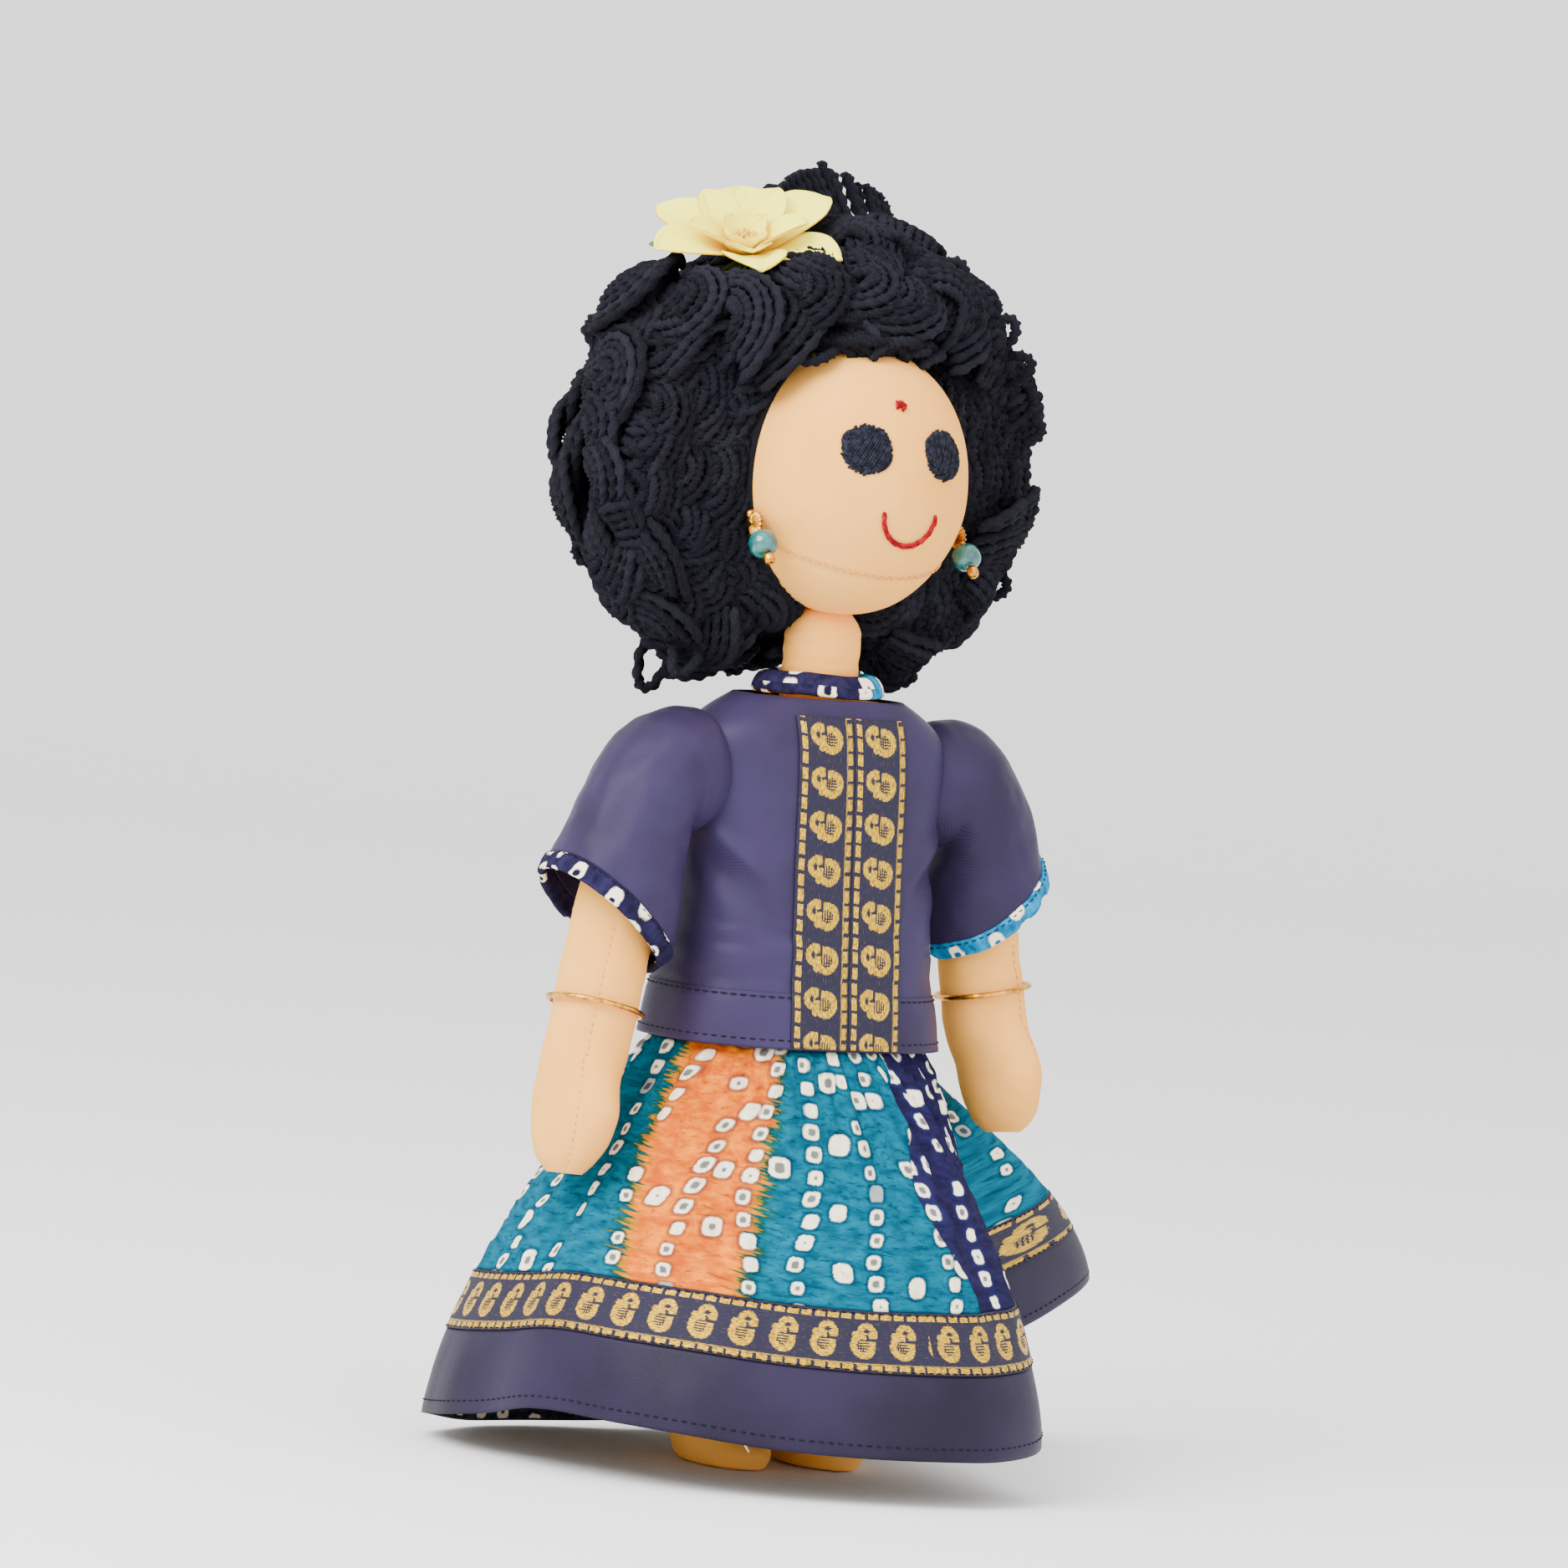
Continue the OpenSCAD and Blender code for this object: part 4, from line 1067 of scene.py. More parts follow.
def make_torso():
    """The stuffed body, which shows only from below."""
    keys = profile_of("torso_skin")
    keys = keys[np.concatenate([[True], np.diff(keys[:, 0]) > 0.8])]
    fine = spline(keys, 60)
    rings = loft(np.stack([fine[:, 0] * 0, fine[:, 0] * 0, fine[:, 0]], 1), fine[:, 1:3],
                 np.broadcast_to([0.0, 0.0, 1.0], (60, 3)), 72, OVAL)
    out = unit(rings * [1, 1, 0])
    rings = rings + out * (0.25 * noise(rings * 0.12, 41))[..., None] - out * 0.25
    points, faces, _ = solid(rings)
    body = build("torso_padding", points, faces, skin_look, "torso", "cotton_skin")
    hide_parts("torso_skin", "torso_stuffing")


def make_neck():
    """The neck, between the body and the head."""
    z = np.linspace(227, NOD_Z + 9, 34)
    r = np.where(z < NOD_Z, NECK_R, np.sqrt(np.maximum(NECK_R ** 2 - (z - NOD_Z) ** 2, 9)))
    centres = np.stack([z * 0, z * 0, z], 1)
    rings = loft(centres, np.stack([r, r], 1), np.broadcast_to([0.0, 0.0, 1.0], (34, 3)), 64)
    out = unit(rings * [1, 1, 0])
    wrinkle = 0.22 * noise(rings * [0.1, 0.1, 0.5], 42) - 0.35 * hump(rings[..., 2], 240.5, 1.2)
    points, faces, _ = solid(rings + out * wrinkle[..., None])
    neck = build("neck_padding", points, faces, skin_look, None, "cotton_skin")
    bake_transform(neck)
    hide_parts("neck")


# ---- Head -----------------------------------------------------------------------------------

def on_head(turn, z, lift=0.0):
    """A point on the head's skin at direction turn and height z, and the way out from the skin there."""
    share = np.clip((np.asarray(z, float) - HEAD_Z) / HEAD_HALF[2], -0.999, 0.999)
    r = HEAD_HALF[0] * np.sqrt(1 - share ** 2)
    p = HEAD_MID + np.stack([r * sind(turn), -r * cosd(turn), HEAD_HALF[2] * share], -1)
    out = unit((p - HEAD_MID) / HEAD_HALF ** 2)
    return p + out * np.asarray(lift, float)[..., None], out


def through_head(x, z, lift):
    """The point on the front of the head in line with x and z seen from the front."""
    flat = 1 - (x / HEAD_HALF[0]) ** 2 - ((z - HEAD_Z) / HEAD_HALF[2]) ** 2
    y = -HEAD_FORWARD - HEAD_HALF[1] * np.sqrt(np.maximum(flat, 0.01))
    p = np.stack([x, y, z], -1)
    out = unit((p - HEAD_MID) / HEAD_HALF ** 2)
    return p + out * np.asarray(lift, float)[..., None], out


def make_head():
    """The stuffed head: a firm egg with the slight lumps of its filling and a dart seam under the jaw."""
    e = np.radians(np.linspace(-88.5, 88.5, 120))
    tt, ee = np.meshgrid(whole_turn(180), e)
    p = HEAD_MID + HEAD_HALF * np.stack([np.sin(tt) * np.cos(ee), -np.cos(tt) * np.cos(ee), np.sin(ee)], -1)
    out = unit((p - HEAD_MID) / HEAD_HALF ** 2)
    lump = 0.28 * noise(p * 0.07, 51) - 0.45 * hump(p[..., 2], jaw_height(p[..., 1]), 1.1) * (p[..., 1] < 0)
    points, faces, _ = solid(p + out * lump[..., None])
    head = build("head_padding", points, faces, skin_look, "head", "cotton_skin")
    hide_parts("head_skin", "head_stuffing")


def jaw_height(y):
    """Height of the jaw seam, which rises from the chin towards the ears."""
    return HEAD_Z - 34 + (np.asarray(y, float) + HEAD_FORWARD + HEAD_W / 2) * 0.42


def make_jaw_stitches():
    """A zigzag of fine stitches along the jaw seam."""
    turn = np.linspace(-88, 88, 500)
    z = jaw_height(-HEAD_FORWARD - 22 * cosd(turn))
    even = evenly(on_head(turn, z, 0.05)[0], 1.3)[0]
    outward = unit((even - HEAD_MID) / HEAD_HALF ** 2)
    along = unit(np.gradient(even, axis=0))
    across = np.cross(outward, along)
    share = np.linspace(0, 1, 6)[:, None]
    bow = np.array([-0.1, 0.22, 0.3, 0.3, 0.22, -0.1])[:, None]
    rows = []
    for i in range(len(even) - 1):
        rise = 0.75 if i % 2 else -0.75
        slip = 0.25 * math.sin(i * 2.7)
        a = even[i] + across[i] * (rise + slip)
        b = even[i + 1] - across[i + 1] * (rise - slip)
        rows.append(a * (1 - share) + b * share + outward[i] * bow)
    points, faces = tubes(rows, 0.14, 6)
    seam = build("jaw_stitches", points, faces, skin_thread_look, "head", "skin_thread")
    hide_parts("chin_seam")


EYE_D, EYE_ANGLE, FACE_TURN = 15, 22, -3


def make_eye(side):
    """Satin stitch: a padded disc of threads laid side by side, with a row of stitches round its rim."""
    turn = FACE_TURN + SIDES[side] * EYE_ANGLE
    dice = np.random.default_rng(60 + SIDES[side])
    middle, out = on_head(turn, HEAD_Z + 9.5)
    across = unit(np.cross([0, 0, 1], out))
    up = np.cross(out, across)
    radius = EYE_D / 2
    rows = []
    slant = math.radians(28)
    d1 = across * math.sin(slant) + up * math.cos(slant)
    d2 = across * math.cos(slant) - up * math.sin(slant)
    for offset in np.arange(-radius + 0.5, radius - 0.3, 0.62):
        half = math.sqrt(radius ** 2 - offset ** 2) + dice.uniform(-0.5, 0.35)
        share = np.linspace(-1, 1, 14)
        bend = 1.2 * np.cos(share * 1.5) * (offset / radius)
        slip = offset + bend + dice.uniform(-0.15, 0.15)
        rows.append(middle + d1 * (share * half)[:, None] + d2 * slip[:, None])
    rim = 34
    for k in range(rim):
        angle = 2 * math.pi * (k + dice.uniform(-0.2, 0.2)) / rim
        lean = dice.uniform(0.25, 0.6)
        share = np.linspace(0, 1, 14)
        r = radius * (1.0 + dice.uniform(-0.03, 0.05)) - share * 1.7
        sweep = angle + share * lean
        rows.append(middle + across * (r * np.cos(sweep))[:, None] + up * (r * np.sin(sweep))[:, None])
    rows = np.array(rows)
    local = rows - middle
    drop = np.sum(local * out, -1)
    flat_r = np.linalg.norm(local - drop[..., None] * out, axis=-1)
    sag = flat_r ** 2 / (2 * HEAD_HALF[0])
    dome = 0.75 * (1 - (flat_r / (radius + 1)) ** 4)
    dip = np.zeros(14)
    dip[[0, -1]] = -0.75
    dip[[1, -2]] = -0.2
    rows = rows + out * (0.15 + dome - sag + dip)[..., None]
    points, faces = tubes(rows, np.full(len(rows), 0.46), 7, 55, 2, 0.14)
    disc_r = np.linspace(0.4, radius - 0.4, 12)
    tt = whole_turn(48)
    top = [middle + out * (0.1 + 0.6 * (1 - (r / (radius + 1)) ** 4) - r * r / (2 * HEAD_HALF[0]))
           + (across * np.cos(tt)[:, None] + up * np.sin(tt)[:, None]) * r for r in disc_r]
    base = top[-1] - out * 0.9
    pad, pad_faces, _ = solid(np.array([base] + top[::-1]))
    points, faces = joined([(points, faces), (pad, pad_faces)])
    eye = build("eye_stitches_" + side, points, faces, eye_look, "head", "black_thread")
    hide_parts("eye_" + side)


def make_bindi():
    """A knot of red thread on the brow."""
    middle, out = on_head(2 * FACE_TURN, HEAD_Z + 23)
    across = unit(np.cross([0, 0, 1], out))
    up = np.cross(out, across)
    rows = []
    for k in range(5):
        share = np.linspace(-1, 1, 10)
        angle = math.radians(62 + 24 * math.sin(k * 2.1))
        d1 = across * math.cos(angle) + up * math.sin(angle)
        d2 = up * math.cos(angle) - across * math.sin(angle)
        bow = 0.95 * np.sqrt(np.maximum(0, 1 - share ** 2)) - 0.25
        offset = (k - 2) * 0.62
        half = 1.75 * math.sqrt(1 - (offset / 2.2) ** 2)
        rows.append(middle + d1 * (share * half)[:, None] + d2 * offset + out * bow[:, None])
    points, faces = tubes(rows, 0.5, 8, 50, 2, 0.15)
    knot = build("bindi_knot", points, faces, red_look, "head", "red_thread")
    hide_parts("bindi")


def make_smile():
    """A smile in split stitch: short overlapping red stitches along half a circle."""
    radius, count = 9, 9
    bow = np.array([-0.5, 0.1, 0.4, 0.55, 0.6, 0.6, 0.55, 0.4, 0.1, -0.5]) + 0.1
    rows = []
    for k in range(count):
        for strand in (-0.34, 0.34):
            a = np.linspace(180 + 180 * k / count - 4, 180 + 180 * (k + 1) / count + 5, 10)
            r = radius + strand * (1 - 0.5 * abs(2 * (k + 0.5) / count - 1))
            p, out = through_head(0.6 + r * cosd(a), HEAD_Z - 9 + r * sind(a), 0)
            rows.append(p + out * bow[:, None])
    points, faces = tubes(rows, 0.52, 8, 38, 2, 0.18)
    smile = build("smile_stitches", points, faces, red_look, "head", "red_thread")
    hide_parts("smile")


# ---- Hair -----------------------------------------------------------------------------------

YARN_R, YARN_POINTS = 1.62, 44
STRAND_GAP, HAIR_BEND = 2.85, 62      # between strands in a lock; radius of the ball they lie on
GOLDEN_TURN = 137.508                 # degrees between one lock and the next, which spreads them evenly
LOOP_KEYS = [[-0.5, -0.5, -1], [-0.5, 0.1, 0], [-0.55, 0.5, 0.3], [-0.32, 0.9, 0.4], [0, 1.0, 0.3],
             [0.35, 0.88, 0.3], [0.55, 0.5, 0.1], [0.45, 0.1, 0], [0.3, -0.5, -1]]


def hair_point(a, e, share=1.0):
    """A point on the hair's outer shape (share 1) or nearer the head's middle, and the way out there."""
    bulge = 1 + 0.1 * max(0, -math.sin(math.radians(e))) * math.cos(math.radians(e))
    half = HAIR_HALF * bulge
    d = np.array([sind(a) * cosd(e), -cosd(a) * cosd(e), sind(e)])
    outer = HAIR_MID + half * d
    near = math.hypot(*(outer - FLOWER_AT)[:2])
    outer = outer - [0, 0, 20 * math.exp(-(near / 31) ** 6) * float(ease(e, 30, 46))]
    inner = HEAD_MID + (HEAD_HALF + 1) * d
    return inner + (outer - inner) * share, unit(d / half)


def lock(at, out, heading, count, reach, bend, height, dice, tuck=7.0):
    """Parallel strands of yarn that leave the head, curl over beside each other and go back in."""
    out = unit(out)
    along = unit(np.asarray(heading, float) - out * np.dot(heading, out))
    across = np.cross(out, along)
    t = np.linspace(-1, 1, YARN_POINTS)
    rows = []
    turn = reach / bend
    for j in range(count):
        offset = (j - (count - 1) / 2) * STRAND_GAP + dice.uniform(-0.35, 0.35)
        r = max(bend + offset, 3.2)
        swing = turn * t + dice.uniform(-0.06, 0.06)
        end = dice.uniform(0.85, 1.1)
        fall = 0.1 * (j - (count - 1) / 2) ** 2 / max(1, count / 2)
        lift = height * (1 - fall) + dice.uniform(-0.5, 0.5)
        depth = (lift + tuck * end) * (1 - np.abs(t) ** 3.2) - tuck * end
        side = r * np.cos(swing) - bend
        fore = r * np.sin(swing)
        sag = (side ** 2 + fore ** 2) / (2 * HAIR_BEND)
        wobble = 0.5 * np.sin(t * 5 + dice.uniform(0, 6))
        rows.append(at + along * fore[:, None] + across * (side + wobble)[:, None]
                    + out * (depth - sag)[:, None])
    return rows


def loose_loop(at, out, heading, width, length, dice):
    """One strand that stands away from the rest as an open loop."""
    out = unit(out)
    along = unit(np.asarray(heading, float))
    across = unit(np.cross(out, along))
    path = spline(np.array(LOOP_KEYS) + dice.uniform(-0.05, 0.05, (9, 3)), YARN_POINTS)
    return at + across * path[:, :1] * width + along * path[:, 1:2] * length + out * path[:, 2:] * 4


def flow(a, out, dice):
    """Which way the yarn runs there: mostly down and round, with every lock turned its own way."""
    down = unit(np.array([0, 0, -1.0]) - out * -out[2]) if abs(out[2]) < 0.97 else np.array([0.6, -0.8, 0])
    angle = dice.normal(0, 0.75) + (0.35 if a > 0 else -0.35)
    return down * math.cos(angle) + np.cross(out, down) * math.sin(angle)


def hair_piece(a, e):
    """The piece of the wig that a lock at direction a and elevation e belongs to."""
    if e > 34:
        return "crown"
    return "left" if a > 0 else "right"


def hair_locks():
    """Every strand of yarn, sorted into the pieces of the wig."""
    dice = np.random.default_rng(11)
    rows = {"crown": [], "left": [], "right": [], "fringe": []}
    count = 300
    for k in range(count):
        e = math.degrees(math.asin(1 - 2 * (k + 0.5) / count)) + dice.uniform(-3, 3)
        a = half_turn_either_way(k * GOLDEN_TURN + dice.uniform(-5, 5))
        share = dice.uniform(0.86, 1.02) if k % 3 else 0.8
        if abs(a) < 70 and e < 37 or e < -62:
            continue
        at, out = hair_point(a, e, share)
        if math.hypot(*(at - FLOWER_AT)[:2]) < 19 and at[2] > 330:
            continue
        lower = 1.5 * float(ease(-e, 30, 60))
        strands = int(dice.integers(5, 9))
        rows[hair_piece(a, e)] += lock(
            at, out, flow(a, out, dice), strands, dice.uniform(14, 19), dice.uniform(7, 18),
            dice.uniform(2.5, 6.5) - lower, dice)
    rows_edge(rows, dice)
    rows_beside_flower(rows, dice)
    rows_fringe(rows, dice)
    rows_loose(rows, dice)
    return rows


def rows_edge(rows, dice):
    """Locks on the front faces of the side hair, from the temples down beside the jaw."""
    for side in (1, -1):
        for e in np.arange(-62, 40, 8.0):
            for share, a0 in ((0.1, 86), (0.4, 80), (0.78, 70)):
                a = side * (a0 + dice.uniform(-2, 2))
                at, radial = hair_point(a, e + dice.uniform(-3, 3), share)
                front = unit(np.array([-side * 0.35, -1.0, 0.05]))
                out = unit(radial * 0.55 + front)
                down = np.array([side * dice.normal(0.2, 0.6), 0, -1.0])
                rows["left" if side > 0 else "right"] += lock(
                    at - out * 3, out, down, 5, dice.uniform(11, 15), dice.uniform(8, 18), 3.0, dice, 5.0)


def rows_beside_flower(rows, dice):
    """Locks that stand up round the back of the flower."""
    for a in np.arange(-165, -60, 15.0):
        for e, share in ((56, 1.0), (46, 0.98)):
            at, out = hair_point(a + dice.uniform(-4, 4), e, share)
            rows["crown"] += lock(at, out, flow(a, out, dice), 5, dice.uniform(11, 14),
                                  dice.uniform(7, 12), 4.5, dice)


def rows_fringe(rows, dice):
    """Locks along the hairline over the forehead, and three open loops that fall on the skin."""
    for a in np.arange(-78, 82, 11.5):
        p, out = on_head(a, 335.5 - 2.5 * abs(a) / 60 + dice.uniform(-1, 1), 3.0)
        heading = np.cross(out, [0, 0, 1]) + np.array([0, 0, dice.uniform(-0.5, 0.5)])
        rows["fringe"] += lock(p, out + np.array([0, 0, 0.5]), heading, 4, dice.uniform(8, 11),
                               dice.uniform(6, 12), 2.6, dice, 4.0)
    for a in np.arange(-72, 76, 16.0):
        p, out = on_head(a, 341, 0)
        at = p + unit(out * [1, 1, 0.4]) * 8.5
        rows["fringe"] += lock(at, out + np.array([0, 0, 0.3]), np.array([dice.normal(0, 0.7), 0.2, -1]), 6,
                               dice.uniform(10, 13), dice.uniform(8, 16), 3.5, dice, 6.0)
    falling = ((-67, 333, 9, 13, 0.15), (-38, 336, 13, 7.5, -1.5), (34, 334, 9, 6, 1.2))
    for a, z, width, length, lean in falling:
        p, out = on_head(a, z, 2.4)
        heading = np.array([0, 0, -1.0]) + np.cross([0, 0, 1.0], out) * lean
        heading = heading - out * np.dot(heading, out)
        rows["fringe"].append(loose_loop(p, out * 0.4, heading, width, length, dice))


FACING_OUT = np.array([-0.545, -0.839, 0.0])     # from the doll towards the photo's viewpoint
# Open loops round the outline: direction, elevation, width, length.
LOOSE_LOOPS = [
    (-118, -58, 8, 17), (-128, -30, 7, 9), (-133, 8, 7, 8), (-125, 24, 8, 10), (-140, 38, 8, 9),
    (-72, -55, 7, 14), (60, 34, 7, 9), (58, 24, 7, 9), (70, 8, 6, 8), (75, -30, 7, 8),
    (50, 52, 7, 8), (95, -56, 8, 12), (-135, 52, 8, 10), (-105, 56, 8, 9), (150, -50, 8, 12),
    (180, -58, 8, 12), (-160, 20, 7, 8), (170, 30, 7, 8), (20, 62, 7, 7)]


def rows_loose(rows, dice):
    """Open loops round the outline, and the fan of cut ends behind the flower."""
    for a, e, width, length in LOOSE_LOOPS:
        at, out = hair_point(a, e, 0.95)
        side = np.cross(out, [0, 0, 1.0])
        heading = unit(out + side * dice.uniform(-0.4, 0.4) + np.array([0, 0, -0.8 if e < -40 else 0.1]))
        rows[hair_piece(a, e)].append(loose_loop(at - out * 2, FACING_OUT, heading, width, length, dice))
    root = np.array([23.0, 38.0, 358.0])
    for k in range(19):
        spread = (k - 9) / 9
        lean = np.array([-0.62 + 0.62 * abs(spread + 1) / 2, 0.1 + 0.2 * spread, 0.8])
        foot = np.array([spread * 21, spread * 5, -4 * max(spread, 0)])
        tip = root + foot + unit(lean) * (33 - 5 * abs(spread)) + dice.normal(0, 0.6, 3)
        base = root + np.array([spread * 16, spread * 4, -8])
        bow = np.array([2.5, -2, 2]) * dice.uniform(0.4, 1.2)
        rows["crown"].append(spline([base, base * 0.6 + tip * 0.4 + bow, tip], YARN_POINTS))


def yarn_piece(name, points, faces, tone):
    """A piece of the wig in black yarn, with a tone for each point."""
    return build(name, points, faces, hair_look, "head", "black_yarn", None, {"tone": tone})


def make_hair():
    """The wig: its strands of yarn, their dense roots and the cap they are sewn to."""
    nodes = {"crown": "hair_crown", "left": "hair_left", "right": "hair_right", "fringe": "hair_crown"}
    for key, rows in hair_locks().items():
        rows = np.array(rows)
        points, faces = tubes(rows, YARN_R, 6, 31, 3, 0.2, 0.55)
        tone = np.repeat(chance.uniform(0, 1, len(rows)), YARN_POINTS * 6)
        piece = yarn_piece("yarn_hair_" + key, points, faces, tone)
        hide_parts(nodes[key])
    make_hair_base()
    make_wig_cap()


def make_hair_base():
    """The dense roots of the yarn, given the darkest tone as painted shade between the loops."""
    for side, name in ((1, "left"), (-1, "right")):
        e = np.linspace(-62, 50, 40)
        a = np.linspace(100, 179.5, 40)
        outer = np.array([[hair_point(side * x, y, 0.76)[0] for x in a] for y in e])
        inner = np.array([[hair_point(side * (104 + (x - 100) * 0.94), y, 0.05)[0] for x in a] for y in e])
        outer = outer + (1.6 * noise(outer * 0.22, 71))[..., None] * unit(outer - HAIR_MID)
        points, faces, _ = shell(outer, inner, False)
        if side < 0:
            faces = [f[:, ::-1] for f in faces]
        # Tone 0 is the darkest yarn colour: painted shade between the loops.
        piece = yarn_piece("yarn_roots_" + name, points, faces, np.zeros(len(points)))
        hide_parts("hair_" + name)
    e = np.linspace(40, 88, 26)
    a = np.arange(96) * 360 / 96
    points, faces, _ = solid(np.array([[hair_point(x, y, 0.74)[0] for x in a] for y in e]))
    # Tone 0 is the darkest yarn colour: painted shade between the loops.
    piece = yarn_piece("yarn_roots_crown", points, faces, np.zeros(len(points)))
    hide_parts("hair_crown")


def make_wig_cap():
    """The black cloth the yarn is sewn to, over the back of the head."""
    e = np.radians(np.linspace(-52, 88, 60))
    turn = np.radians(np.linspace(84, 276, 90))
    tt, ee = np.meshgrid(turn, e)
    d = np.stack([np.sin(tt) * np.cos(ee), -np.cos(tt) * np.cos(ee), np.sin(ee)], -1)
    outer, inner = HEAD_MID + (HEAD_HALF + 1.0) * d, HEAD_MID + (HEAD_HALF + 0.25) * d
    points, faces, _ = shell(outer, inner, False)
    cap = build("wig_cap_cloth", points, faces, wig_look, "head", "wig_cloth")
    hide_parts("wig_cap")


# ---- Flower ---------------------------------------------------------------------------------

FLOWER_OUT = unit([-0.28, -0.42, 0.86])


def petal(length, width, rise, turn, cup, curl, root, thick=0.5):
    """One thin pointed petal: rows along it, columns across it."""
    along = 22
    cc, ll = np.meshgrid(np.linspace(-1, 1, 15), np.linspace(0, 1, along))
    half = width / 2 * np.minimum(1, (ll + 0.04) ** 0.5 * 1.12) * (1 - ll ** 3.2) ** 0.8 + 0.15
    angle = np.radians(rise) * (1 - 0.35 * ll) + np.radians(curl) * ll ** 2
    step = length / (along - 1)
    fore = np.cumsum(np.cos(angle[:, :1]) * step, 0)
    up = np.cumsum(np.sin(angle[:, :1]) * step, 0)
    lift = cup * (np.abs(cc) ** 2) * half / width * 2 + 0.35 * np.sin(cc * 9 + ll * 3) * ll
    x = fore + root - np.sin(angle) * lift
    z = up + np.cos(angle) * lift
    p = np.stack([x, half * cc, z], -1)
    n = normals_of(p, False)
    n = n * np.sign(n[..., 2:3].mean() + 1e-9)
    c, s = math.cos(math.radians(turn)), math.sin(math.radians(turn))
    spin = np.array([[c, -s, 0], [s, c, 0], [0, 0, 1]])
    outer, inner = (p + n * thick / 2) @ spin.T, (p - n * thick / 2) @ spin.T
    return shell(outer, inner, False, np.stack([ll, cc], -1))


def seated(points):
    """From the flower's own upright frame to its tilt on the head."""
    side = unit(np.cross([0, 1.0, 0], FLOWER_OUT))
    fore = np.cross(FLOWER_OUT, side)
    return FLOWER_AT + [0, -1, 5] + points[:, :1] * side + points[:, 1:2] * fore + points[:, 2:] * FLOWER_OUT


def petals_as_piece(name, petals, look, slot, node):
    """Petals put together as one piece and seated on the head."""
    points, faces, uv, start = [], [], [], 0
    for p, f, c in petals:
        points.append(p)
        faces += [x + start for x in f]
        uv += c
        start += len(p)
    piece = build(name, seated(np.concatenate(points)), faces, look, "head", slot, uv)
    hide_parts(node)


def make_flower():
    """The silk flower: three rounds of petals, leaves behind them, stamens and a steel pin."""
    dice = np.random.default_rng(5)
    outer = [petal(29 + dice.uniform(-1, 2), 25, 30 + dice.uniform(-8, 8), 60 * k + dice.uniform(-6, 6),
                   2.6, -22, 1.5) for k in range(6)]
    middle = [petal(22, 18, 50 + dice.uniform(-5, 5), 72 * k + 25, 3.2, -10, 1.5) for k in range(5)]
    inner = [petal(13, 11, 62, 90 * k + 10, 3.0, 16, 0.8) for k in range(4)]
    petals_as_piece("flower_silk_petals", outer + middle + inner, petal_look, "petal_silk", "flower_petals")
    leaves = [petal(27, 12, -4, 30 + 95 * k, 1.5, -14, 2.0, 0.4) for k in range(4)]
    petals_as_piece("flower_silk_leaves", leaves, leaf_look, "leaf_silk", "flower_leaves")
    rows = []
    for k in range(26):
        angle, r = k * 2.4, 0.55 * math.sqrt(k)
        tip = np.array([r * 1.5 * math.cos(angle), r * 1.5 * math.sin(angle), 8 - 0.25 * r])
        base = np.array([r * math.cos(angle), r * math.sin(angle), 0.5])
        rows.append(spline([base, (base + tip) / 2 + [0, 0, 0.3], tip], 8))
    points, faces = tubes(rows, 0.42, 6, ends=0.9)
    centre = build("flower_stamens", seated(points), faces, stamen_look, "head", "stamen")
    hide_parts("flower_centre")
    pin = spline([[0, 0, 2], [0, 0, -3], [0.4, 0, -8]], 12)
    points, faces = tubes([pin], 0.6, 12)
    stem = build("flower_steel_pin", seated(points), faces, steel_look, "head", "pin_steel")
    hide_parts("flower_pin")


# ---- Earrings -------------------------------------------------------------------------------

EAR = np.array([36.2, -10.0, 284.0])
STRING_DOWN = unit([0.0, -1.0, -1.0])
# From the disc's edge to its middle: radius, height, height of the rays.
STARBURST = ((3.75, 0.0, 0.0), (3.7, 0.35, 0.25), (2.6, 0.75, 0.5), (1.3, 1.0, 0.45), (0.35, 1.15, 0.0))


def turned(profile, middle, axis, sides=40):
    """A solid of revolution: profile lists (distance along the axis, radius)."""
    profile = np.asarray(profile, float)
    axis = unit(axis)
    side = unit(np.cross(axis, [0.3, 0.9, 0.1]))
    other = np.cross(axis, side)
    spoke = whole_turn(sides)
    ring = side * np.cos(spoke)[:, None] + other * np.sin(spoke)[:, None]
    rings = middle + axis * profile[:, None, :1] + ring[None] * profile[:, None, 1:2]
    return rings.reshape(-1, 3), [grid(len(profile), sides, True, True)[0]]


def bead_profile(half, radius, bore, squarish=2.4, count=22):
    """The outline of a pierced bead, from one end of its bore round to the other and back."""
    t = np.linspace(-0.5, 0.5, count) * math.pi
    along = half * signed_power(np.sin(t), 2 / squarish)
    out = bore + (radius - bore) * np.abs(np.cos(t)) ** (2 / squarish)
    back = [half * 0.8, -half * 0.8]
    return np.stack([np.concatenate([along, back]), np.concatenate([out, [bore, bore]])], 1)


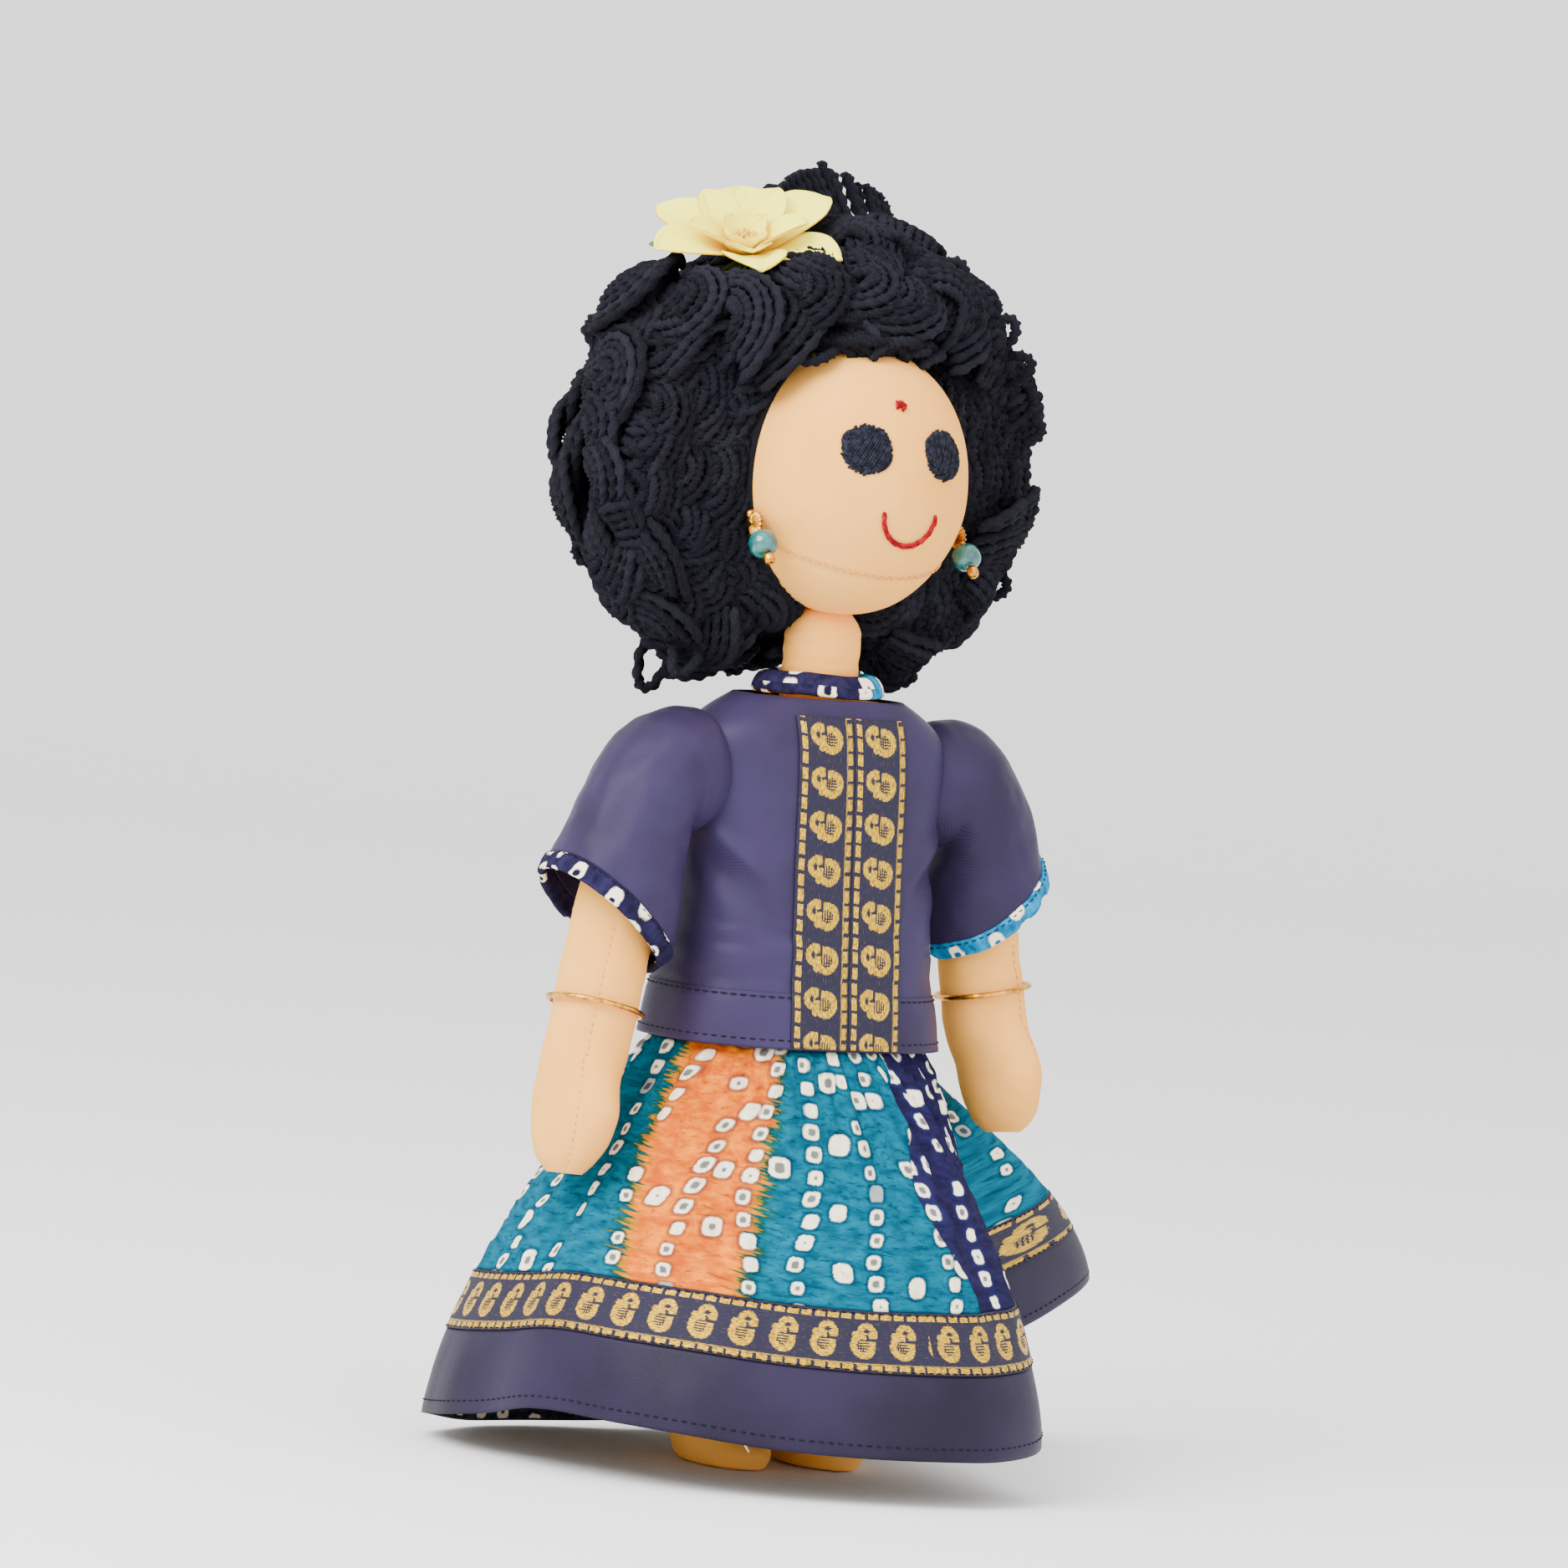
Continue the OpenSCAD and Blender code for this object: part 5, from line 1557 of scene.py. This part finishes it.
def make_earring(side):
    """One ear drop: wire, gold starburst, glass bead and gold tip."""
    body, sign = "earring_" + side, SIDES[side]
    ear = EAR * [sign, 1, 1]
    down, outward = STRING_DOWN, np.array([sign * 1.0, 0, 0])
    fore = np.cross(outward, down)
    middle = ear + down * 5
    wire = tubes([np.array([ear + down * d for d in np.linspace(-1.0, 17.5, 24)])], 0.32, 8)
    spacer = turned(bead_profile(1.1, 1.35, 0.35), ear + down * 0.9, down, 28)
    thread_piece = build("earring_wire_" + side, *joined([wire, spacer]), gold_look, body, "gold_metal")
    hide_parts("earring_thread_" + side)
    rays = 16
    spoke = whole_turn(rays * 4)
    spread = down * np.cos(spoke)[:, None] + fore * np.sin(spoke)[:, None]
    rings = []
    for r, lift, rib in STARBURST:
        ridge = lift + rib * np.cos(spoke * rays)
        edge = r * (1 + (0.05 if r > 3 else 0) * np.cos(spoke * rays))
        rings.append(middle + outward * ridge[:, None] + spread * edge[:, None])
    back = [middle + (r - middle) * [-1, 1, 1] for r in rings[::-1]]
    points, faces, _ = solid(np.array(rings[::-1] + back[::-1]))
    disc = build("earring_starburst_" + side, points, faces, gold_look, body, "gold_metal")
    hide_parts("earring_disc_" + side)
    glass = turned(bead_profile(3.6, 4.4, 0.7), ear + down * 12.6, down, 48)
    bead = build("earring_glass_bead_" + side, *glass, bead_look, body, "turquoise_bead")
    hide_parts("earring_bead_" + side)
    ball = turned(bead_profile(1.75, 1.8, 0.5), ear + down * 18.4, down, 36)
    tip = build("earring_gold_tip_" + side, *ball, gold_look, body, "gold_metal")
    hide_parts("earring_tip_" + side)


# ---- Arms -----------------------------------------------------------------------------------

# Down each arm: out from the armhole, forward or back, up or down, half-width, half-depth.
HAND_ENDS = {
    "right": [[24, -3.5, -55, 12.6, 12.6], [27.5, -5.25, -71, 12.6, 12.6], [30.4, -6.8, -84, 12.6, 12.6],
              [33, -8.5, -93, 11.4, 14], [35, -10, -101, 10.8, 15.4], [36.2, -11, -109, 10, 14.6],
              [36.9, -11.5, -115.5, 8, 11.6], [37.2, -11.8, -120, 4.6, 6.8]],
    "left": [[21.5, 1, -49, 12.6, 12.6], [24, 0, -63, 12.6, 12.6], [26, -1, -73, 12.6, 12.6],
             [27.4, -4, -80, 11.4, 14], [28.2, -7, -87, 10.8, 15], [28.6, -9, -94, 10, 14],
             [28.9, -10, -100, 8, 11.2], [29, -10.5, -104, 4.6, 6.8]],
}
SHOULDERS = {
    "right": [[1.2, 0, 0, 9, 9], [4, 0, -0.5, 11.2, 11.2], [9.6, 0, -6, 12.4, 12.4], [15.2, -1, -23, 13, 13],
              [20, -2, -40, 13, 13]],
    "left": [[1.2, 0, 0, 9, 9], [4, 0, -0.5, 11.2, 11.2], [9.6, 0, -6, 11.6, 11.6],
             [15.6, 1, -22, 11.8, 12.4], [19, 1.5, -36, 13, 13]],
}
# Down each sleeve: out, forward or back, up or down, the way the ring faces (out, forward, up), radius.
SLEEVE_TOP = [[-12, 0, -1, 1, 0, 0, 12], [-8, 0, -0.5, 1, 0, 0, 15.6], [-3.6, 0, 0, 1, 0, 0, 18],
              [0.4, 0, 0, 1, 0, 0, 19], [4, 0, -0.5, 1, 0, -0.1, 19.4], [9, 0, -4, 1, 0, -0.35, 20.2]]
SLEEVE_ENDS = {
    "right": [[13.5, 0, -11.5, 1, 0, -0.7, 20.8], [17, -0.5, -22, 1, 0, -1, 21.6],
              [20, -1, -32, 0.95, 0, -1.1, 22.6], [23, -1.5, -41, 0.85, 0, -1, 23.4]],
    "left": [[13.2, 0.5, -11, 1, 0.05, -0.7, 20.6], [16.2, 1, -19, 1, 0.1, -1, 21],
             [18.5, 1.5, -27, 0.95, 0.1, -1.1, 21.8], [20.5, 2, -34, 0.85, 0.1, -1, 22.6]],
}
SLEEVE_FLAT, CUFF_W = 1.5, 6
SEAM_BEARING = 62      # degrees from straight out to the arm's seam, towards the front


def from_armhole(side, p):
    """Distances out from, in front of and above the middle of an armhole, as points."""
    return np.stack([SIDES[side] * (ARMHOLE_X + p[:, 0]), p[:, 1], SHOULDER_Z + p[:, 2]], 1)


def arm_rings(side, rows=110, sides=60):
    """Rings of points down the arm and hand, and the middles of the rings."""
    keys = np.array(SHOULDERS[side] + HAND_ENDS[side], float)
    fine = spline(keys, rows)
    middles = from_armhole(side, fine)
    along = np.gradient(middles, axis=0)
    start = np.array([[SIDES[side], 0, 0]], float)
    share = ease(np.arange(rows) / rows, 0, 0.16)[:, None]
    return loft(middles, fine[:, 3:5], unit(along) * share + start * (1 - share), sides), middles


def make_arm(side):
    """The stuffed arm and mitten hand, with a thumb and a seam up its inside."""
    rings, middles = arm_rings(side)
    out = unit(rings - middles[:, None])
    low = rings[-1, :, 2].mean()
    thumb_z = low + 20.0
    thumb_at = middles[np.argmin(np.abs(middles[:, 2] - thumb_z))] + [-SIDES[side] * 2.0, -15.0, 0]
    far = np.linalg.norm((rings - thumb_at) * [1, 1, 0.8], axis=-1)
    swell = 2.6 * np.exp(-(far / 7.5) ** 2)
    lump = 0.3 * noise(rings * 0.09, 81) + 0.22 * noise(rings * 0.2, 82)
    bearing = np.degrees(np.arctan2(out[..., 1], out[..., 0] * SIDES[side]))
    front = np.abs(half_turn_either_way(bearing + SEAM_BEARING))
    groove = -0.5 * hump(front, 0, 5) * ease(-rings[..., 2], -165, -155)
    skin = rings + out * (swell + lump + groove)[..., None]
    points, faces, _ = solid(skin)
    arm = build("arm_padding_" + side, points, faces, skin_look, "arm_" + side, "cotton_skin")
    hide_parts("arm_skin_" + side, "arm_stuffing_" + side)
    pick = np.argmin(front, axis=1)
    rows = np.arange(len(rings))
    seam = skin[rows, pick]
    keep = (seam[:, 2] < 160) & (seam[:, 2] > low + 3)
    points, faces = stitches(seam[keep], out[rows, pick][keep], 1.5, 0.9, 0.16, 0.02)
    build("arm_seam_" + side, points, faces, skin_thread_look, "arm_" + side, "cotton_skin")


def sleeve_rings(side, rows=72, sides=120):
    """Rings of points down the sleeve, their middles and the ways they face."""
    keys = np.array(SLEEVE_TOP + SLEEVE_ENDS[side], float)
    fine = spline(keys, rows)
    middles = from_armhole(side, fine)
    facing = fine[:, 3:6] * [SIDES[side], 1, 1]
    half = np.stack([fine[:, 6], fine[:, 6] - SLEEVE_FLAT], 1)
    return loft(middles, half, facing, sides), middles, unit(facing)


def sleeve_fold(p, side, share):
    """Soft creases that run from the shoulder down the sleeve, deepest near the armpit."""
    creases = 0.9 * noise(p * [0.09, 0.12, 0.05], 91 + SIDES[side]) + 0.35 * noise(p * 0.2, 93)
    dent = 1.1 * hump(share, 0.72, 0.1) * ease(-p[..., 2], -200, -176) * 0.6
    return creases * ease(share, 0.2, 0.5) - dent


def make_sleeve(side):
    """The blouse's short sleeve, curving down from the shoulder over the top of the arm."""
    rings, middles, facing = sleeve_rings(side)
    share = np.linspace(0, 1, len(rings))[:, None] * np.ones(rings.shape[1])
    out = unit(rings - middles[:, None])
    fold = sleeve_fold(rings, side, share)
    outer = rings + out * fold[..., None]
    inner = outer - out * CLOTH_T
    points, faces, _ = shell(outer, inner, True)
    if side == "right":
        faces = [f[:, ::-1] for f in faces]
    sleeve = build("sleeve_cloth_" + side, points, faces, navy_look, None, "navy_satin")
    near, far = (from_armhole(side, np.array([[x, 0, 0]]))[0] * MM + AXIS for x in (-6, 6))
    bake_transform(sleeve)
    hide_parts("sleeve_" + side)
    make_cuff(side, outer[-1], out[-1], facing[-1])


def make_cuff(side, edge, out, facing):
    """The printed binding that is folded round the sleeve's end."""
    round_count, round_way = 20, 13.2      # points round the folded edge, and its length
    width, thick = CUFF_W / 2, 1.15
    rows = []
    for r in whole_turn(round_count):
        along = width + width * signed_power(np.cos(r), 0.6)
        off = thick * signed_power(np.sin(r), 0.7) - 0.6 + 0.35 * math.sin(along)
        rows.append(edge + facing * along + out * off)
    rows = np.array(rows)
    rows = rows + out[None] * (0.25 * noise(rows * 0.3, 95))[..., None]
    sides = edge.shape[0]
    faces, corners = grid(round_count, sides, True, True)
    arc = 2 * math.pi * 22 / sides
    uv = np.stack(np.meshgrid(np.arange(sides + 1) * arc, np.linspace(0, round_way, round_count + 1)), -1)
    corner_uv = uv[corners[..., 0], corners[..., 1]]
    if side == "left":
        faces, corner_uv = faces[:, ::-1], corner_uv[:, ::-1]
    cuff = build("cuff_binding_" + side, rows, [faces], cuff_looks[side], "arm_" + side,
                 "printed_binding", [corner_uv])
    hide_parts("cuff_" + side)
    line = edge + facing * 0.9 + out * 0.75
    closed = np.concatenate([line, line[:1]])
    points, faces = stitches(closed, np.concatenate([out, out[:1]]), 1.7, 0.8, 0.18, 0)
    build("cuff_stitching_" + side, points, faces, navy_thread_look, "arm_" + side, "printed_binding")


# ---- Legs -----------------------------------------------------------------------------------

def make_leg(side):
    """A stuffed leg that turns forward into a short foot with a flat sole."""
    top = HIP_Z + LEG_R
    dome = HIP_Z + LEG_R * np.sin(np.radians(np.linspace(89, 0, 10)))
    dome_r = np.sqrt(np.maximum(LEG_R ** 2 - (dome - HIP_Z) ** 2, 0.3))
    keys = [[0, z, r, r] for z, r in zip(dome, dome_r)]
    keys += [[0, z, LEG_R, LEG_R] for z in (70, 56, 42, 30, 22)]
    keys = np.array(keys + [[-2, 15, 13, 15], [-5, 10, 13, 18], [-8, 5.5, 12.6, 20], [-8.6, 2, 11.6, 19],
                            [-8.8, 0.3, 9.6, 17], [-8.8, 0.1, 5, 9]], float)
    fine = spline(keys, 90)
    middles = np.stack([fine[:, 0] * 0 + SIDES[side] * LEG_X, fine[:, 0], np.maximum(fine[:, 1], 0.05)], 1)
    rings = loft(middles, fine[:, 2:4], np.broadcast_to([0.0, 0.0, -1.0], (90, 3)), 56)
    out = unit((rings - middles[:, None]) * [1, 1, 0])
    lump = 0.25 * noise(rings * 0.1, 101) * ease(rings[..., 2], 1, 6)
    rings = np.minimum(rings, [1e9, 1e9, top - 0.1]) + out * lump[..., None]
    points, faces, _ = solid(rings)
    leg = build("leg_padding_" + side, points, faces, skin_look, "leg_" + side, "cotton_skin")
    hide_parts("leg_skin_" + side, "leg_stuffing_" + side)


# ---- Setting --------------------------------------------------------------------------------

def make_floor():
    """A pale paper sweep: flat under the doll, curving up far behind it."""
    flat, curve = 3.0, 1.5      # metres: half the flat part, and the radius of the curve behind it
    bend = np.radians(np.linspace(5, 90, 14))
    depth = np.concatenate([np.linspace(-flat, flat, 13), flat + curve * np.sin(bend),
                            np.full(4, flat + curve)])
    height = np.concatenate([np.zeros(13), curve - curve * np.cos(bend), [2.0, 2.8, 3.6, 4.4]])
    across = np.linspace(-6, 6, 9)
    view = FACING_OUT[:2]
    side = np.array([-view[1], view[0]])
    rows = [[*(-view * d + side * x), h - 0.0002] for d, h in zip(depth, height) for x in across]
    faces, _ = grid(len(depth), len(across))
    mesh = bpy.data.meshes.new("floor")
    mesh.from_pydata([tuple(r) for r in rows], [], [tuple(int(i) for i in f) for f in faces])
    for polygon in mesh.polygons:
        polygon.use_smooth = True
    mesh.materials.append(floor_paper())
    floor = bpy.data.objects.new("floor", mesh)
    bpy.context.scene.collection.objects.link(floor)


def aim(holder, target):
    """Turn a light to face a point."""
    holder.rotation_euler = (Vector(target) - holder.location).to_track_quat("-Z", "Y").to_euler()


def lamp(name, azimuth, elevation, distance, size, power, target):
    """A square light of a size in metres and a power in watts, turned to face a point."""
    light = bpy.data.lights.new(name, "AREA")
    light.size, light.energy = size, power
    holder = bpy.data.objects.new(name, light)
    bpy.context.scene.collection.objects.link(holder)
    flat = cosd(elevation) * distance
    holder.location = (flat * sind(azimuth) + target[0], -flat * cosd(azimuth) + target[1],
                       sind(elevation) * distance + target[2])
    aim(holder, target)


def make_lights():
    """A soft light from the left, two weaker ones and an even white room."""
    middle = (AXIS[0], AXIS[1], 0.2)
    lamp("key_light", -75, 40, 1.6, 1.0, 46, middle)
    lamp("fill_light", 5, 25, 1.8, 1.6, 12, middle)
    lamp("top_light", -20, 80, 1.5, 1.4, 8, middle)
    world = bpy.data.worlds.new("studio")
    bpy.context.scene.world = world
    world.use_nodes = True
    background = world.node_tree.nodes["Background"]
    background.inputs["Color"].default_value = rgb(250, 250, 250)
    background.inputs["Strength"].default_value = 2.0


CAMERA_AZIMUTH, CAMERA_ELEVATION, CAMERA_ROLL = -33, 3, 5
CAMERA_FAR, CAMERA_LENS = 3.0, 230.3
AIM_ACROSS, AIM_UP = -7.75, 203


def make_camera():
    """The photo's viewpoint: from the doll's front right, level with it and tilted a little."""
    across = np.array([cosd(CAMERA_AZIMUTH), sind(CAMERA_AZIMUTH), 0])
    forward = np.array([-sind(CAMERA_AZIMUTH) * cosd(CAMERA_ELEVATION),
                        cosd(CAMERA_AZIMUTH) * cosd(CAMERA_ELEVATION), -sind(CAMERA_ELEVATION)])
    up = np.cross(across, forward)
    right = across * cosd(CAMERA_ROLL) + up * sind(CAMERA_ROLL)
    top = up * cosd(CAMERA_ROLL) - across * sind(CAMERA_ROLL)
    target = (across * AIM_ACROSS + np.array([0, 0, AIM_UP])) * MM + AXIS
    at = target - forward * CAMERA_FAR
    camera = bpy.data.cameras.new("camera")
    camera.lens, camera.sensor_width, camera.clip_end = CAMERA_LENS, 36, 20
    holder = bpy.data.objects.new("camera", camera)
    bpy.context.scene.collection.objects.link(holder)
    holder.matrix_world = Matrix([list(row) for row in np.column_stack([right, top, -forward, at])]).to_4x4()
    bpy.context.scene.camera = holder


make_camera()
make_lights()
make_floor()
make_skirt()
make_blouse()
make_placket()
make_collar()
make_back_tape()
make_waistband()
make_torso()
make_neck()
make_head()
make_jaw_stitches()
make_bindi()
make_smile()
make_hair()
make_flower()
for doll_side in SIDES:
    make_eye(doll_side)
    make_earring(doll_side)
    make_arm(doll_side)
    make_sleeve(doll_side)
    make_leg(doll_side)
    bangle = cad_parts["bangle_" + doll_side]
    bangle.data.materials.clear()
    bangle.data.materials.append(gold_look)
